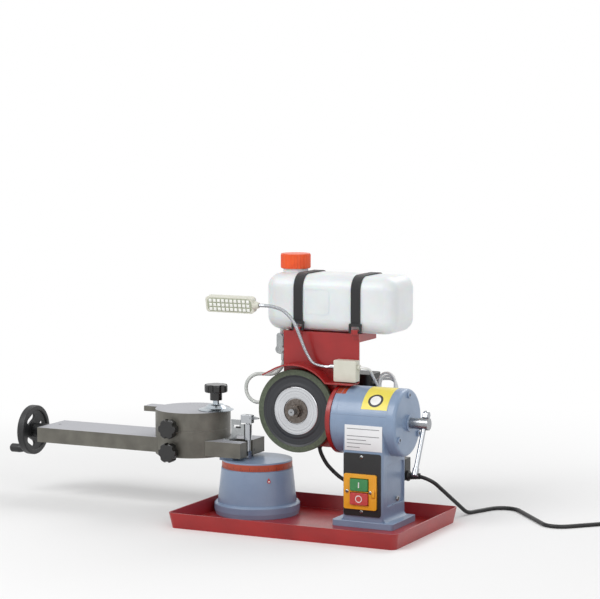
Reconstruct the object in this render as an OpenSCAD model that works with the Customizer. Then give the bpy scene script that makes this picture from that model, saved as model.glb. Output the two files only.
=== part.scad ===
// Wet grinding sharpener for circular saw blades.
// Origin: centre of the tray's underside. +X along the tray, +Y to the back, +Z up.

/* [Tray] */
// Length of the tray over its rim
tray_l = 366; // [350:1:420]
// Width of the tray over its rim
tray_w = 231; // [225:1:260]
// Height of the tray's rim
tray_h = 23; // [18:1:30]
// Thickness of the tray sheet
tray_t = 2; // [1.5:0.1:3]
// How far the tray walls lean in towards the bottom
tray_lean = 4; // [2:1:8]

/* [Column and barrel] */
// Width of the column
column_w = 64; // [58:1:70]
// Width of the foot plate
foot_w = 98; // [92:1:110]
// Depth of the foot plate
foot_d = 87; // [80:1:92]
// Thickness of the foot plate
foot_t = 9; // [6:1:14]
// Front edge of the foot plate
foot_y = 0; // [-4:1:4]
// Outer radius of the barrel
barrel_r = 50; // [48:1:52]
// Length of the barrel
barrel_l = 89.5; // [84:0.5:96]
// Height of the barrel's axis above the floor
barrel_z = 153.5; // [150:0.5:158]
// Thickness of the barrel's end cap
cap_t = 14; // [10:1:18]
// Thickness of the red tilt ring
ring_t = 5; // [4:0.5:6]

/* [Feed shaft] */
// Radius of the feed shaft
shaft_r = 8; // [7:0.5:9]
// Radius of the sleeve around the shaft
sleeve_r = 20; // [17:0.5:22]
// Wall of the bronze bushes
bush_t = 4; // [3:0.5:5]
// Radius of the drop lever
lever_r = 3.5; // [3:0.5:4]
// Length of the drop lever below the shaft
lever_l = 74; // [60:1:80]
// Lean of the drop lever to the front, degrees
lever_lean = 27; // [20:1:35]

/* [Grinding wheel] */
// Radius of the grinding wheel
wheel_r = 62.5; // [60:0.5:64]
// Thickness of the grinding wheel
wheel_t = 10; // [8:0.5:11]
// Width of the olive grinding band
band_w = 8.5; // [6:0.5:11]
// Height of the wheel's axis above the barrel's axis
wheel_rise = 7; // [4:1:10]
// Room between the wheel's left edge and the table's middle line
table_gap = 2.5; // [1:0.5:6]
// Radius of the aluminium hub
hub_r = 36.5; // [32:0.5:40]
// Radius of the motor
motor_r = 54; // [48:1:55]
// Length of the motor with its end bell
motor_l = 130; // [110:1:140]

/* [Water tank] */
// Length of the bottle
bottle_l = 213; // [190:1:230]
// Depth of the bottle
bottle_d = 90; // [80:1:100]
// Height of the bottle
bottle_h = 85; // [75:1:95]
// Height of the tank shelf's top above the floor
shelf_z = 279; // [274:1:290]
// Radius of the bottle cap
tank_cap_r = 22.7; // [20:0.1:25]
// Width of a strap
strap_w = 15; // [12:1:20]

/* [Turning table] */
// Radius of the table disc
table_r = 53; // [48:1:58]
// Height of the table disc's top
table_z = 84.5; // [80:0.5:88]
// Radius of the base at the tray
base_r = 64.6; // [62:0.1:68]

/* [Arm and carriage] */
// Length of the arm
arm_l = 358; // [340:1:400]
// Width of the arm
arm_w = 80; // [74:1:84]
// Thickness of the arm
arm_t = 23; // [20:1:26]
// Radius of the round saddle and seat
seat_r = 57.5; // [54:0.5:60]
// Thickness of the seat
seat_t = 27.5; // [24:0.5:32]
// Radius of the hand wheel
hand_r = 39; // [34:1:44]
// Radius of the lead screw
screw_r = 5; // [4:0.5:6]

/* [Hidden] */

// Clearances: between faces that pass, and around a turning or sliding pin
face_gap = 0.3;
run_gap = 0.05;
slide_gap = 0.1;
// Extra length of a cut, so that it passes clean through
cut = 1;

// Places along the tray, from its left end: table, wheel, head, barrel, column
floor_z = tray_t;
flange_z = floor_z + 18;
base_bevel_h = 7;
wall_gap = 0.165;
base_tuck = tray_lean * (floor_z + base_bevel_h) / tray_h - wall_gap;
base_bevel = base_tuck + 0.4;
table_x = -tray_l / 2 + tray_lean + tray_t - base_tuck + base_r;
wheel_x = table_x + table_gap + wheel_r;
wheel_gap = 1.8;
disc_x0 = wheel_x + wheel_r + wheel_gap;
disc_t = 4;
disc_x1 = disc_x0 + disc_t;
disc_gap = 0.7;
ring_x0 = disc_x1 + disc_gap;
ring_x1 = ring_x0 + ring_t;
barrel_x0 = ring_x1 + face_gap;
barrel_x1 = barrel_x0 + barrel_l;
barrel_over = 20.5;
column_x0 = barrel_x0 + barrel_over;
column_x1 = column_x0 + column_w;
column_x = column_x0 + column_w / 2;

// Column and barrel
foot_x0 = column_x - foot_w / 2;
foot_top = floor_z + foot_t;
front_inset = 1;
front_y = foot_y + front_inset;
back_y = foot_y + foot_d - front_inset;
barrel_y = front_y + barrel_r;
cap_x1 = barrel_x1 + cap_t;
cap_boss_r = 12.5;
cap_boss_t = 4;
cap_round = 5;
cap_screw_ring = barrel_r - 9;
cap_screw_r = 3;
column_wall = 8;
column_corner = 5;
cavity_top = barrel_z - barrel_r - column_wall;
bush_l = 26;
bush_r = sleeve_r + bush_t;
foot_screw_in = 9;
foot_screw_r = 3;
foot_screw_l = foot_t - 2;
screw_head_r = 5;
screw_head_t = 1.4;

// Switch on the column's front
switch_x = column_x + 0.5;
switch_w = 59;
switch_z0 = 20;
switch_z1 = 112;
switch_t = 2;
frame_x = switch_x - 2;
frame_w = 52;
frame_z = 56;
frame_h = 52;
frame_t = 3;
button_w = 28;
button_h = 17.5;
button_gap = 3;
button_out = 2.5;
button_in = 9;
window_gap = 0.8;
button_x = frame_x - 1;
start_z = frame_z + (button_h + button_gap) / 2;
stop_z = start_z - button_h - button_gap;
switch_screw_r = 2.6;
// Hole in the column's front that the switch body goes into
window_x0 = frame_x - 18;
window_x1 = frame_x + 18;
window_z0 = frame_z - 22;
window_z1 = frame_z + 22;
switch_depth = 6;

// Terminal box at the column's back, cords
box_x1 = column_x1 - 2;
box_w = 42;
box_d = 26;
box_z = 76;
box_h = 32;
gland_l = 20;
gland_r = 6;
gland_y = back_y + 12;
gland_z = box_z - 10;
cord_r = 3;
cord_pts = [[128.3, 98, 66], [134, 99, 64.6], [139, 103, 61], [143, 110, 56.5], [147, 119, 51], [152, 131, 44],
    [159, 149, 31.5], [166, 167, 17], [173, 180, 7.5], [182, 188, 4], [192, 194, 3], [200, 205, 3],
    [207, 221, 3], [215, 233, 3], [226, 233, 3], [238, 224, 3], [254, 205, 3], [274, 184, 3],
    [292, 160, 3], [308, 142, 3], [325, 134, 3], [338, 142, 3], [350, 158, 3], [364, 176, 3],
    [382, 190, 3], [398, 201, 3], [414, 209, 3], [431, 214, 3], [448, 215.5, 3]];
coil_x = 455;
coil_y = 170;
coil_mid_r = 33;
coil_w = 18;
coil_h = 12;
plug_r = 18;
plug_l = 34;
plug_back = 13;
plug_z = coil_h + plug_r;
cable_r = 3;
cable_upper_pts = [[-30, 82, 108], [-29, 82, 98], [-25, 82, 88], [-17, 82, 76], [-7, 83, 66]];
cable_lower_pts = [[-6, 83, 65], [5, 84, 57], [18, 87, 51], [34, 91, 50.5], [48, 94, 56], [57, 95.6, 60.8],
    [65.6, 96, 62]];

// Shaft, ring and head bracket
ring_r = barrel_r + 1.5;
disc_r = barrel_r - 4;
shaft_out = 33;
shaft_x1 = cap_x1 + shaft_out;
collar_r = shaft_r + 1;
collar_l = 14;
lever_x = shaft_x1 - collar_l / 2;
sleeve_x1 = barrel_x1 - 2;

// Grinding wheel, bracket and motor
wheel_set = 11;
wheel_z = barrel_z + wheel_rise;
face_y = barrel_y - wheel_set;
wheel_back = face_y + wheel_t;
bracket_gap = 4;
bracket_y = wheel_back + bracket_gap;
bracket_t = 3;
motor_y = bracket_y + bracket_t;
spindle_r = 6;
nut_flats = 17;
guard_gap = 7;
guard_r = wheel_r + guard_gap;
guard_t = 2;
guard_front = face_y - 11;
guard_out = guard_r + guard_t;
guard_left = 118;
plate_r = motor_r + 4;
// The ledge passes over the ring with room to spare
ledge_rise = barrel_z + ring_r + 0.6 + guard_t - wheel_z;
ledge_z = wheel_z + ledge_rise;
guard_right = asin(ledge_rise / guard_out);
tank_plate_x0 = wheel_x - 27;
tank_plate_x1 = wheel_x + 97;
sheet_t = 2;

// Bottle on its shelf
bottle_x = wheel_x + 46.3;
bottle_y = bracket_y - 2 + bottle_d / 2;
bottle_z = shelf_z + bottle_h / 2;
bottle_round = 21;
bottle_wall = 2;
spout_r = 5;
neck_x = bottle_x - 74.5;
neck_r = 19;
neck_top = shelf_z + bottle_h + 24;
cap_h = 22;
cap_wall = 2;
seal_t = 1.5;
shelf_d = 92;
flange_h = 12;
flange_d = 62;
strap_t = 1.6;
strap_x1 = bottle_x - 48;
strap_x2 = bottle_x + 46;
tap_x = bottle_x - 88;
tap_y = bracket_y + 28;
tap_z = shelf_z - 33;
tap_r = 7;
tap_up = 14;
tap_lever_w = 9;
tap_lever_l = 25;
hose_r = 2.8;
nozzle_x = wheel_x - wheel_r;
nozzle_z = 167;
hose_pts = [[-90.5, 82, 229.4], [-91, 81, 224], [-94, 77, 219], [-100, 73, 216], [-107, 70, 216],
    [-116, 68, 220], [-125, 66, 222], [-134, 65, 219], [-140, 64, 213], [-143, 62, 203],
    [-141, 61, 194], [-135, 60, 186], [-127, 60, 178], [-119, 60, 171], [-112, 60, 167]];

// Lamp
lamp_box_x0 = wheel_x + 62;
lamp_box_w = 36;
lamp_box_d = 14;
lamp_box_z0 = 209;
lamp_box_h = 32;
goose_r = 2.5;
goose_y = 46;
goose_z = 230;
lead_exit_z = 231;
goose_pts = [[9, goose_y, goose_z], [0, 46, 229], [-10, 45, 230], [-18, 44, 232], [-24, 43, 236], [-29, 42, 244],
    [-33, 40, 253], [-39, 37, 270], [-44, 34, 285], [-50, 32, 297], [-57, 29, 306], [-64, 27, 312],
    [-72, 25, 315.5], [-82, 22.5, 317.8], [-91, 20.5, 318.5], [-99.7, 20, 318.5]];
lamp_x1 = -101;
lamp_l = 86;
lamp_h = 24;
lamp_t = 11;
lamp_y = 20;
lamp_z = 318.5;
lamp_tilt = 12;
lead_r = 2;
lead_pts = [[53.3, 47, 231], [56.4, 47.4, 231], [59.6, 50.4, 230.4], [60.6, 56, 228.4],
    [60.4, 66, 225], [58, 78, 221], [56, 90, 215], [54, 102, 207], [53, 110, 201], [52, 117, 195]];
hank_x = 64;
hank_y = 125;
hank_z = 180;
hank_w = 30;
hank_in = 8;
hank_h = 74;
hank_t = 12;

// Turning table, arm and stop
table_y = face_y;
disc_h = 13;
spigot_r = 15;
spigot_l = 40;
pad_t = 4;
arm_x1 = table_x - 8.2;
arm_x0 = arm_x1 - arm_l;
arm_y0 = table_y - arm_w / 2;
arm_z0 = table_z + pad_t;
arm_z1 = arm_z0 + arm_t;
fork_y = table_y - 8.5;
fork_w = 20;
fork_l = 28;
channel_w = 22;
channel_top = 5;
end_wall = 9;
channel_x1 = arm_x1 - fork_l - 12;
screw_y = table_y;
screw_z = arm_z0 + arm_t / 2;
stop_x = arm_x1 - 3;
stop_y = fork_y;
post_r = 6;
rod_r = 3.5;
rod_tip_r = 3;
foot_nut_h = 12;
post_top = arm_z1 + 25.5;
block_l = 18;
block_w = 12;
block_h = 12;
block_z0 = post_top + 2;
block_cut_x = 4.5;
block_cut_y = 3.6;
pawl_x = stop_x + 6.8;
pawl_l = 11;
pawl_w = 4;
pawl_z = block_z0 + 7.5;
pawl_pin_hold = 1;
bracket_foot_x = stop_x - 36;

// Saddle, seat and clamp
seat_out = 110;
seat_x = table_x - seat_out;
web_t = 3;
saddle_over = 14.5;
saddle_z0 = arm_z0 - slide_gap - web_t;
saddle_z1 = arm_z1 + saddle_over;
post_seat_r = 20;
post_seat_h = 18;
seat_z0 = saddle_z1 + slide_gap;
seat_z1 = seat_z0 + seat_t;
lug_l = 22;
lug_w = 24;
lug_t = 8;
knob_x = seat_x - 5;
knob_r = 15;
knob_t = 13;
knob_hub_r = 7.5;
knob_hub_l = 4;
knob_stud_r = 3;
knob_face = table_y - seat_r;
seat_knob_z = seat_z0 + 4.6;
saddle_knob_z = arm_z0 + 6;
clamp_out = 70;
clamp_x = table_x - clamp_out;
clamp_stud_r = 3;
clamp_top = seat_z1 + 34;
cone_r = 27;
cone_h = 9;
cone_neck = 6;
clamp_knob_r = 18;

// Hand wheel
hand_out = 27;
hand_x1 = arm_x0 - hand_out;
hand_t = 12;
hand_x0 = hand_x1 - hand_t;
crank_ring = hand_r - 6;
crank_angle = 329;
crank_l = 24;
crank_r = 6.8;
crank_pin_r = 3;
// The screw's full thickness starts just outside the arm, behind the wheel's hub
screw_step = 0.4;

// ---- helpers ----
module xcyl(r, x0, x1, y, z) translate([x0, y, z]) rotate([0, 90, 0]) cylinder(r = r, h = x1 - x0, $fn = 64);
module ycyl(r, y0, y1, x, z) translate([x, y1, z]) rotate([90, 0, 0]) cylinder(r = r, h = y1 - y0, $fn = 64);
module zcyl(r, z0, z1, x, y) translate([x, y, z0]) cylinder(r = r, h = z1 - z0, $fn = 64);
module block(x0, x1, y0, y1, z0, z1) translate([x0, y0, z0]) cube([x1 - x0, y1 - y0, z1 - z0]);

// Flat rectangle with true round corners, from one corner
module round_rect(w, h, r) {
    translate([r, 0]) square([w - 2 * r, h]);
    translate([0, r]) square([w, h - 2 * r]);
    for (x = [r, w - r], y = [r, h - r]) translate([x, y]) circle(r = r, $fn = 32);
}

// Lobed hand knob on +Z: its hub first, then its head
module star_knob(head_r, head_t, hub_r, hub_l, bore) {
    round_r = 2.5;
    difference() {
        rotate_extrude($fn = 64) {
            translate([0, 0]) square([hub_r, hub_l + cut]);
            translate([0, hub_l]) square([head_r - round_r, head_t]);
            translate([0, hub_l + round_r]) square([head_r, head_t - 2 * round_r]);
            for (z = [hub_l + round_r, hub_l + head_t - round_r])
                translate([head_r - round_r, z]) circle(r = round_r, $fn = 32);
        }
        for (a = [0:60:300]) rotate([0, 0, a + 30]) translate([head_r + 1.2, 0, hub_l - cut])
            cylinder(r = head_r * 0.28, h = head_t + 2 * cut, $fn = 32);
        if (bore > 0) translate([0, 0, -cut]) cylinder(r = bore, h = hub_l + head_t * 0.6 + cut, $fn = 48);
    }
}

// Tube swept along points; ref is a direction that the route never takes
function unit(v) = v / norm(v);
function tangent(p, i) = unit(p[min(i + 1, len(p) - 1)] - p[max(i - 1, 0)]);
function ring_at(p, i, r, n, ref) =
    let (t = tangent(p, i), u = unit(cross(ref, t)), w = cross(t, u))
    [for (k = [0:n - 1]) p[i] + r * (cos(360 * k / n) * u + sin(360 * k / n) * w)];
// Points between the chosen ones, on a smooth curve through them
function between(a, b, c, d, s) = 0.5 * (2 * b + (c - a) * s + (2 * a - 5 * b + 4 * c - d) * s * s
    + (3 * b - a - 3 * c + d) * s * s * s);
function smooth(p, m) = concat([for (i = [0:len(p) - 2], k = [0:m - 1])
    between(p[max(i - 1, 0)], p[i], p[i + 1], p[min(i + 2, len(p) - 1)], k / m)], [p[len(p) - 1]]);
module tube(p, r, n, ref) {
    rings = len(p);
    polyhedron(
        points = [for (i = [0:rings - 1]) each ring_at(p, i, r, n, ref)],
        faces = concat(
            [[for (k = [0:n - 1]) k]],
            [for (i = [0:rings - 2], k = [0:n - 1])
                [i * n + k, (i + 1) * n + k, (i + 1) * n + (k + 1) % n, i * n + (k + 1) % n]],
            [[for (k = [n - 1:-1:0]) (rings - 1) * n + k]]));
}

// ---- tray and castings ----
module tray_form(inset, z0) {
    lean = (tray_l - 2 * tray_lean) / tray_l;
    lean_y = (tray_w - 2 * tray_lean) / tray_w;
    translate([0, 0, tray_h]) mirror([0, 0, 1])
        linear_extrude(height = tray_h - z0, scale = [lean, lean_y])
            translate([-tray_l / 2 + inset, -tray_w / 2 + inset])
                round_rect(tray_l - 2 * inset, tray_w - 2 * inset, 9 - inset);
}
module tray() {
    color("firebrick") difference() {
        tray_form(0, 0);
        difference() {
            translate([0, 0, 0.01]) tray_form(tray_t, 0);
            block(-tray_l, tray_l, -tray_w, tray_w, -cut, tray_t);
        }
        foot_screw_holes();
        table_screw_holes();
    }
}
module at_foot_screws() for (x = [foot_x0 + foot_screw_in, foot_x0 + foot_w - foot_screw_in],
    y = [foot_y + foot_screw_in, foot_y + foot_d - foot_screw_in]) translate([x, y, 0]) children();
module at_table_screws() for (a = [90:120:330])
    translate([table_x, table_y, 0]) rotate([0, 0, a]) translate([base_r - 10, 0, 0]) children();
module foot_screw_holes() at_foot_screws() screw_hole();
module table_screw_holes() at_table_screws() screw_hole();
module screw_hole() {
    translate([0, 0, -cut]) cylinder(r = foot_screw_r + 0.2, h = tray_t + 2 * cut, $fn = 32);
    translate([0, 0, -cut]) cylinder(r = screw_head_r + 0.2, h = cut + screw_head_t, $fn = 32);
}
module tray_screw() {
    translate([0, 0, 0.1]) cylinder(r = screw_head_r, h = screw_head_t - 0.1, $fn = 32);
    cylinder_z0 = screw_head_t - 0.1;
    translate([0, 0, cylinder_z0]) cylinder(r = foot_screw_r, h = floor_z + foot_screw_l - cylinder_z0, $fn = 32);
}
module base_screws() color("silver") {
    at_foot_screws() tray_screw();
    at_table_screws() tray_screw();
    at_cap_screws() {
        translate([-6, 0, 0]) rotate([0, 90, 0]) cylinder(r = cap_screw_r, h = 6, $fn = 32);
        rotate([0, 90, 0]) cylinder(r = cap_screw_r * 1.6, h = 2.6, $fn = 32);
    }
    switch_screws();
}
module at_cap_screws() for (a = [90:120:330]) translate([cap_x1, barrel_y, barrel_z])
    rotate([a, 0, 0]) translate([0, cap_screw_ring, 0]) children();

module column() {
    color("lightsteelblue") difference() {
        union() {
            translate([foot_x0, foot_y, floor_z]) linear_extrude(foot_t) round_rect(foot_w, foot_d, 5);
            translate([column_x0, front_y, floor_z])
                linear_extrude(barrel_z - floor_z) round_rect(column_w, back_y - front_y, column_corner);
            foot_coves();
            xcyl(barrel_r, barrel_x0, barrel_x1, barrel_y, barrel_z);
        }
        xcyl(bush_r, barrel_x0 - cut, barrel_x1 + cut, barrel_y, barrel_z);
        block(column_x0 + column_wall, column_x1 - column_wall, front_y + column_wall, back_y - column_wall,
            floor_z - cut, cavity_top);
        side_panels();
        window(front_y - cut, front_y + column_wall + cut);
        at_foot_screws() translate([0, 0, floor_z - cut])
            cylinder(r = foot_screw_r, h = foot_screw_l + cut, $fn = 32);
    }
}
// Hollow fillets between the foot plate and the column's sides
module foot_coves() {
    cove = 7;
    for (s = [-1, 1]) translate([column_x + s * column_w / 2, 0, foot_top]) difference() {
        block(min(0, s * cove), max(0, s * cove), front_y + column_corner, back_y - column_corner, 0, cove);
        ycyl(cove, front_y, back_y, s * cove, cove);
    }
}
// Cast recess in each side of the column
module side_panels() {
    panel_in = 2.5;
    panel_y = front_y + 15;
    for (x = [column_x0 - panel_in, column_x1 - panel_in])
        translate([x, panel_y, floor_z + 30]) rotate([90, 0, 90]) linear_extrude(2 * panel_in)
            round_rect(back_y - panel_y - 6, 62, 6);
}
module window(y0, y1) block(window_x0, window_x1, y0, y1, window_z0, window_z1);

module barrel_cap() {
    color("lightsteelblue") difference() {
        translate([barrel_x1, barrel_y, barrel_z]) rotate([0, 90, 0]) rotate_extrude($fn = 96) {
            square([barrel_r - cap_round, cap_t]);
            square([barrel_r, cap_t - cap_round]);
            translate([barrel_r - cap_round, cap_t - cap_round]) intersection() {
                circle(r = cap_round, $fn = 32);
                square(cap_round);
            }
            square([cap_boss_r, cap_t + cap_boss_t]);
        }
        xcyl(shaft_r + run_gap, barrel_x1 - cut, cap_x1 + cap_boss_t + cut, barrel_y, barrel_z);
        at_cap_screws() translate([-6, 0, 0]) rotate([0, 90, 0])
            cylinder(r = cap_screw_r, h = 6 + cut, $fn = 32);
    }
}
module barrel_bushes() color("peru") for (x = [barrel_x0, barrel_x1 - bush_l]) difference() {
    xcyl(bush_r, x, x + bush_l, barrel_y, barrel_z);
    xcyl(sleeve_r + run_gap, x - cut, x + bush_l + cut, barrel_y, barrel_z);
}

// ---- switch and terminal box ----
module switch_plate() color([0.13, 0.13, 0.14]) difference() {
    translate([switch_x - switch_w / 2, front_y, switch_z0]) rotate([90, 0, 0])
        linear_extrude(switch_t) round_rect(switch_w, switch_z1 - switch_z0, 3);
    window(front_y - switch_t - cut, front_y + cut);
}
module button_hole(z) block(button_x - button_w / 2 - window_gap, button_x + button_w / 2 + window_gap,
    front_y - switch_t - frame_t - cut, front_y + switch_depth + cut, z - button_h / 2 - window_gap,
    z + button_h / 2 + window_gap);
module switch_frame() color("orange") difference() {
    union() {
        translate([frame_x - frame_w / 2, front_y - switch_t, frame_z - frame_h / 2]) rotate([90, 0, 0])
            linear_extrude(frame_t) round_rect(frame_w, frame_h, 3);
        window(front_y - switch_t, front_y + switch_depth);
    }
    button_hole(start_z);
    button_hole(stop_z);
}
module button(z) {
    button_y0 = front_y - switch_t - frame_t - button_out;
    translate([button_x - button_w / 2, button_y0 + button_in, z - button_h / 2]) rotate([90, 0, 0])
        linear_extrude(button_in) round_rect(button_w, button_h, 2);
}
module start_button() color("seagreen") button(start_z);
module stop_button() color("indianred") button(stop_z);
module switch_screws() {
    for (z = [switch_z0 + 6.5, switch_z1 - 5]) translate([switch_x - 1, front_y - switch_t, z]) pan_screw();
    for (x = [button_x - button_w / 2 - 5.5, button_x + button_w / 2 + 3.6])
        translate([x, front_y - switch_t - frame_t, frame_z]) pan_screw();
}
module pan_screw() rotate([90, 0, 0]) intersection() {
    translate([0, 0, -2]) sphere(r = 3.6, $fn = 32);
    cylinder(r = switch_screw_r, h = 3, $fn = 32);
}
module terminal_box() color([0.1, 0.1, 0.1])
    translate([box_x1 - box_w, back_y, box_z - box_h / 2]) linear_extrude(box_h) round_rect(box_w, box_d, 4);
module cord_gland() color([0.08, 0.08, 0.08])
    translate([box_x1, gland_y, gland_z]) rotate([0, 90, 0]) rotate_extrude($fn = 48)
        polygon([[0, 0], [gland_r + 2, 0], [gland_r + 2, 3], [gland_r, 3], [gland_r, 6], [cord_r + 1, gland_l],
            [0, gland_l]]);
module mains_cord() color([0.05, 0.05, 0.05]) tube(smooth(cord_pts, 2), cord_r, 8, [0, 0, 1]);
module mains_coil() color([0.05, 0.05, 0.05]) translate([coil_x, coil_y, 0]) rotate_extrude($fn = 64)
    translate([coil_mid_r - coil_w / 2, 0]) round_rect(coil_w, coil_h, 3);
module mains_plug() color([0.07, 0.07, 0.07]) translate([coil_x + coil_mid_r, coil_y - plug_back, plug_z]) {
    rotate([90, 0, 0]) rotate_extrude($fn = 48)
        polygon([[0, -38], [cord_r + 1.5, -38], [cord_r + 3, -16], [10, -14], [plug_r - 2, -4], [plug_r, 0],
            [plug_r, plug_l - 20], [0, plug_l - 20]]);
    for (x = [-9.5, 9.5]) translate([x, 20 - plug_l, 0]) rotate([90, 0, 0])
        cylinder(r = 2.4, h = 19, $fn = 32);
}
module cable_lower() color([0.05, 0.05, 0.05]) tube(smooth(cable_lower_pts, 2), cable_r, 8, [0, 1, 0]);
module cable_upper() color([0.05, 0.05, 0.05]) tube(smooth(cable_upper_pts, 2), cable_r, 8, [0, 1, 0]);

// ---- tilting sleeve, shaft and lever ----
module tilt_sleeve() color("silver") difference() {
    xcyl(sleeve_r, ring_x0, sleeve_x1, barrel_y, barrel_z);
    xcyl(shaft_r + run_gap, ring_x0 - cut, sleeve_x1 + cut, barrel_y, barrel_z);
}
module tilt_ring() color("firebrick") difference() {
    xcyl(ring_r, ring_x0, ring_x1, barrel_y, barrel_z);
    xcyl(sleeve_r, ring_x0 - cut, ring_x1 + cut, barrel_y, barrel_z);
}
module feed_shaft() color("silver") difference() {
    union() {
        xcyl(shaft_r, disc_x0 + 1, shaft_x1, barrel_y, barrel_z);
        xcyl(collar_r, shaft_x1 - collar_l, shaft_x1, barrel_y, barrel_z);
    }
    lever_place() translate([0, 0, -2 * collar_r]) cylinder(r = lever_r, h = 4 * collar_r, $fn = 48);
}
module lever_place() translate([lever_x, barrel_y, barrel_z]) rotate([-lever_lean, 0, 0]) children();
module drop_lever() color("gainsboro") lever_place()
    translate([0, 0, -lever_l]) cylinder(r = lever_r, h = lever_l + collar_r + 4, $fn = 48);
module lever_nuts() color("gainsboro") lever_place() {
    difference() {
        union() {
            translate([0, 0, collar_r]) cylinder(r = 6.3, h = 6, $fn = 6);
            translate([0, 0, collar_r + 6]) intersection() {
                sphere(r = 5.6, $fn = 32);
                cylinder(r = 6, h = 6, $fn = 32);
            }
        }
        translate([0, 0, collar_r - cut]) cylinder(r = lever_r, h = 4 + cut, $fn = 48);
    }
    translate([0, 0, -lever_l - 5]) difference() {
        cylinder(r = 4.8, h = 11, $fn = 48);
        translate([0, 0, 5]) cylinder(r = lever_r, h = 7, $fn = 48);
    }
}

// ---- head: bracket, guard, tank shelf, motor ----
module motor_bracket() color("firebrick") difference() {
    union() {
        ycyl(plate_r, bracket_y, bracket_y + bracket_t, wheel_x, wheel_z);
        intersection() {
            ycyl(guard_out, bracket_y, bracket_y + bracket_t, wheel_x, wheel_z);
            block(tank_plate_x0, disc_x1, bracket_y, bracket_y + bracket_t, wheel_z, wheel_z + guard_out);
        }
        block(wheel_x, disc_x1, bracket_y, bracket_y + bracket_t, barrel_z - disc_r, ledge_z);
        xcyl(disc_r, disc_x0, disc_x1, barrel_y, barrel_z);
        // Tab that carries the end of the hose
        block(nozzle_x - 5, wheel_x - plate_r + 4, bracket_y, bracket_y + bracket_t, nozzle_z - 5, nozzle_z + 5);
    }
    block(wheel_x - cut, disc_x1 + cut, bracket_y - cut, bracket_y + bracket_t + cut,
        wheel_z - guard_out, barrel_z - disc_r);
    ycyl(spindle_r + 6, bracket_y - cut, bracket_y + bracket_t + cut, wheel_x, wheel_z);
    xcyl(shaft_r, disc_x0 + 1, disc_x1 + cut, barrel_y, barrel_z);
}
// Curved sheet over the wheel: arc, straight tongue to the left, ledge to the right
module guard_profile() {
    far = 200;
    difference() {
        circle(r = guard_out, $fn = 128);
        circle(r = guard_r, $fn = 128);
        rotate(guard_left) translate([-far, 0]) square([2 * far, far]);
        rotate(guard_right) translate([-far, -far]) square([2 * far, far]);
        translate([-far, -far]) square([2 * far, far]);
    }
    rotate(guard_left) translate([guard_r, 0]) square([guard_t, 20]);
    translate([guard_r * cos(guard_right), ledge_rise - guard_t])
        square([tank_plate_x1 - wheel_x - guard_r * cos(guard_right), guard_t]);
}
module wheel_guard() color("firebrick") translate([wheel_x, bracket_y, wheel_z]) rotate([90, 0, 0])
    linear_extrude(bracket_y - guard_front) guard_profile();
module tank_bracket() color("firebrick") {
    difference() {
        block(tank_plate_x0, tank_plate_x1, bracket_y, bracket_y + sheet_t, ledge_z, shelf_z);
        ycyl(guard_out, bracket_y - cut, bracket_y + sheet_t + cut, wheel_x, wheel_z);
    }
    block(tank_plate_x0, tank_plate_x1, bracket_y, bracket_y + shelf_d, shelf_z - sheet_t, shelf_z);
    for (x = [tank_plate_x0, tank_plate_x1 - sheet_t])
        block(x, x + sheet_t, bracket_y, bracket_y + flange_d, shelf_z - flange_h, shelf_z);
    for (x = [strap_x1, strap_x2]) translate([x, bottle_y - bottle_d / 2, shelf_z]) strap_hook();
}
// Hook tab that rises behind a buckle and bends forward through it
module strap_hook() {
    hook_w = 10;
    translate([-hook_w / 2, 0.2, -7]) cube([hook_w, 2.8, 14]);
    translate([-hook_w / 2, -5, 5.2]) cube([hook_w, 6, 1.8]);
    translate([-hook_w / 2, -5, 0]) cube([hook_w, 1.6, 7]);
}
module motor_body() color([0.08, 0.08, 0.08]) difference() {
    bell = 14;
    union() {
        translate([wheel_x, motor_y, wheel_z]) rotate([-90, 0, 0]) rotate_extrude($fn = 96)
            polygon([[0, 0], [motor_r - 3, 0], [motor_r, 3], [motor_r, motor_l - bell],
                [motor_r - 4, motor_l - bell], [motor_r - 6, motor_l - 6], [motor_r - 14, motor_l],
                [0, motor_l]]);
        translate([wheel_x + 44, motor_y + 48, wheel_z + 16]) linear_extrude(36) round_rect(48, 44, 8);
        xcyl(5, wheel_x + 90, hank_x - hank_w / 2, hank_y, hank_z + 12);
    }
    ycyl(spindle_r + 2, motor_y - cut, motor_y + 12, wheel_x, wheel_z);
    ycyl(spindle_r + run_gap, motor_y, motor_y + 40, wheel_x, wheel_z);
}

// ---- water ----
module bottle_form(r) hull() for (x = [-1, 1], y = [-1, 1], z = [-1, 1])
    translate([bottle_x + x * (bottle_l / 2 - bottle_round), bottle_y + y * (bottle_d / 2 - bottle_round),
        bottle_z + z * (bottle_h / 2 - bottle_round)]) sphere(r = r, $fn = 32);
module bottle() color("whitesmoke") difference() {
    union() {
        bottle_form(bottle_round);
        zcyl(neck_r, shelf_z + bottle_h - 6, neck_top, neck_x, bottle_y);
        zcyl(spout_r, tap_z + tap_up, shelf_z + 12, tap_x, tap_y);
    }
    bottle_form(bottle_round - bottle_wall);
    zcyl(neck_r - bottle_wall, shelf_z + bottle_h - bottle_wall - 4, neck_top + cut, neck_x, bottle_y);
    zcyl(spout_r - bottle_wall, tap_z + tap_up - cut, shelf_z + 20, tap_x, tap_y);
}
module strap_form(grow) translate([bottle_y - bottle_d / 2 - grow, shelf_z - grow])
    round_rect(bottle_d + 2 * grow, bottle_h + 2 * grow, bottle_round + grow);
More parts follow.
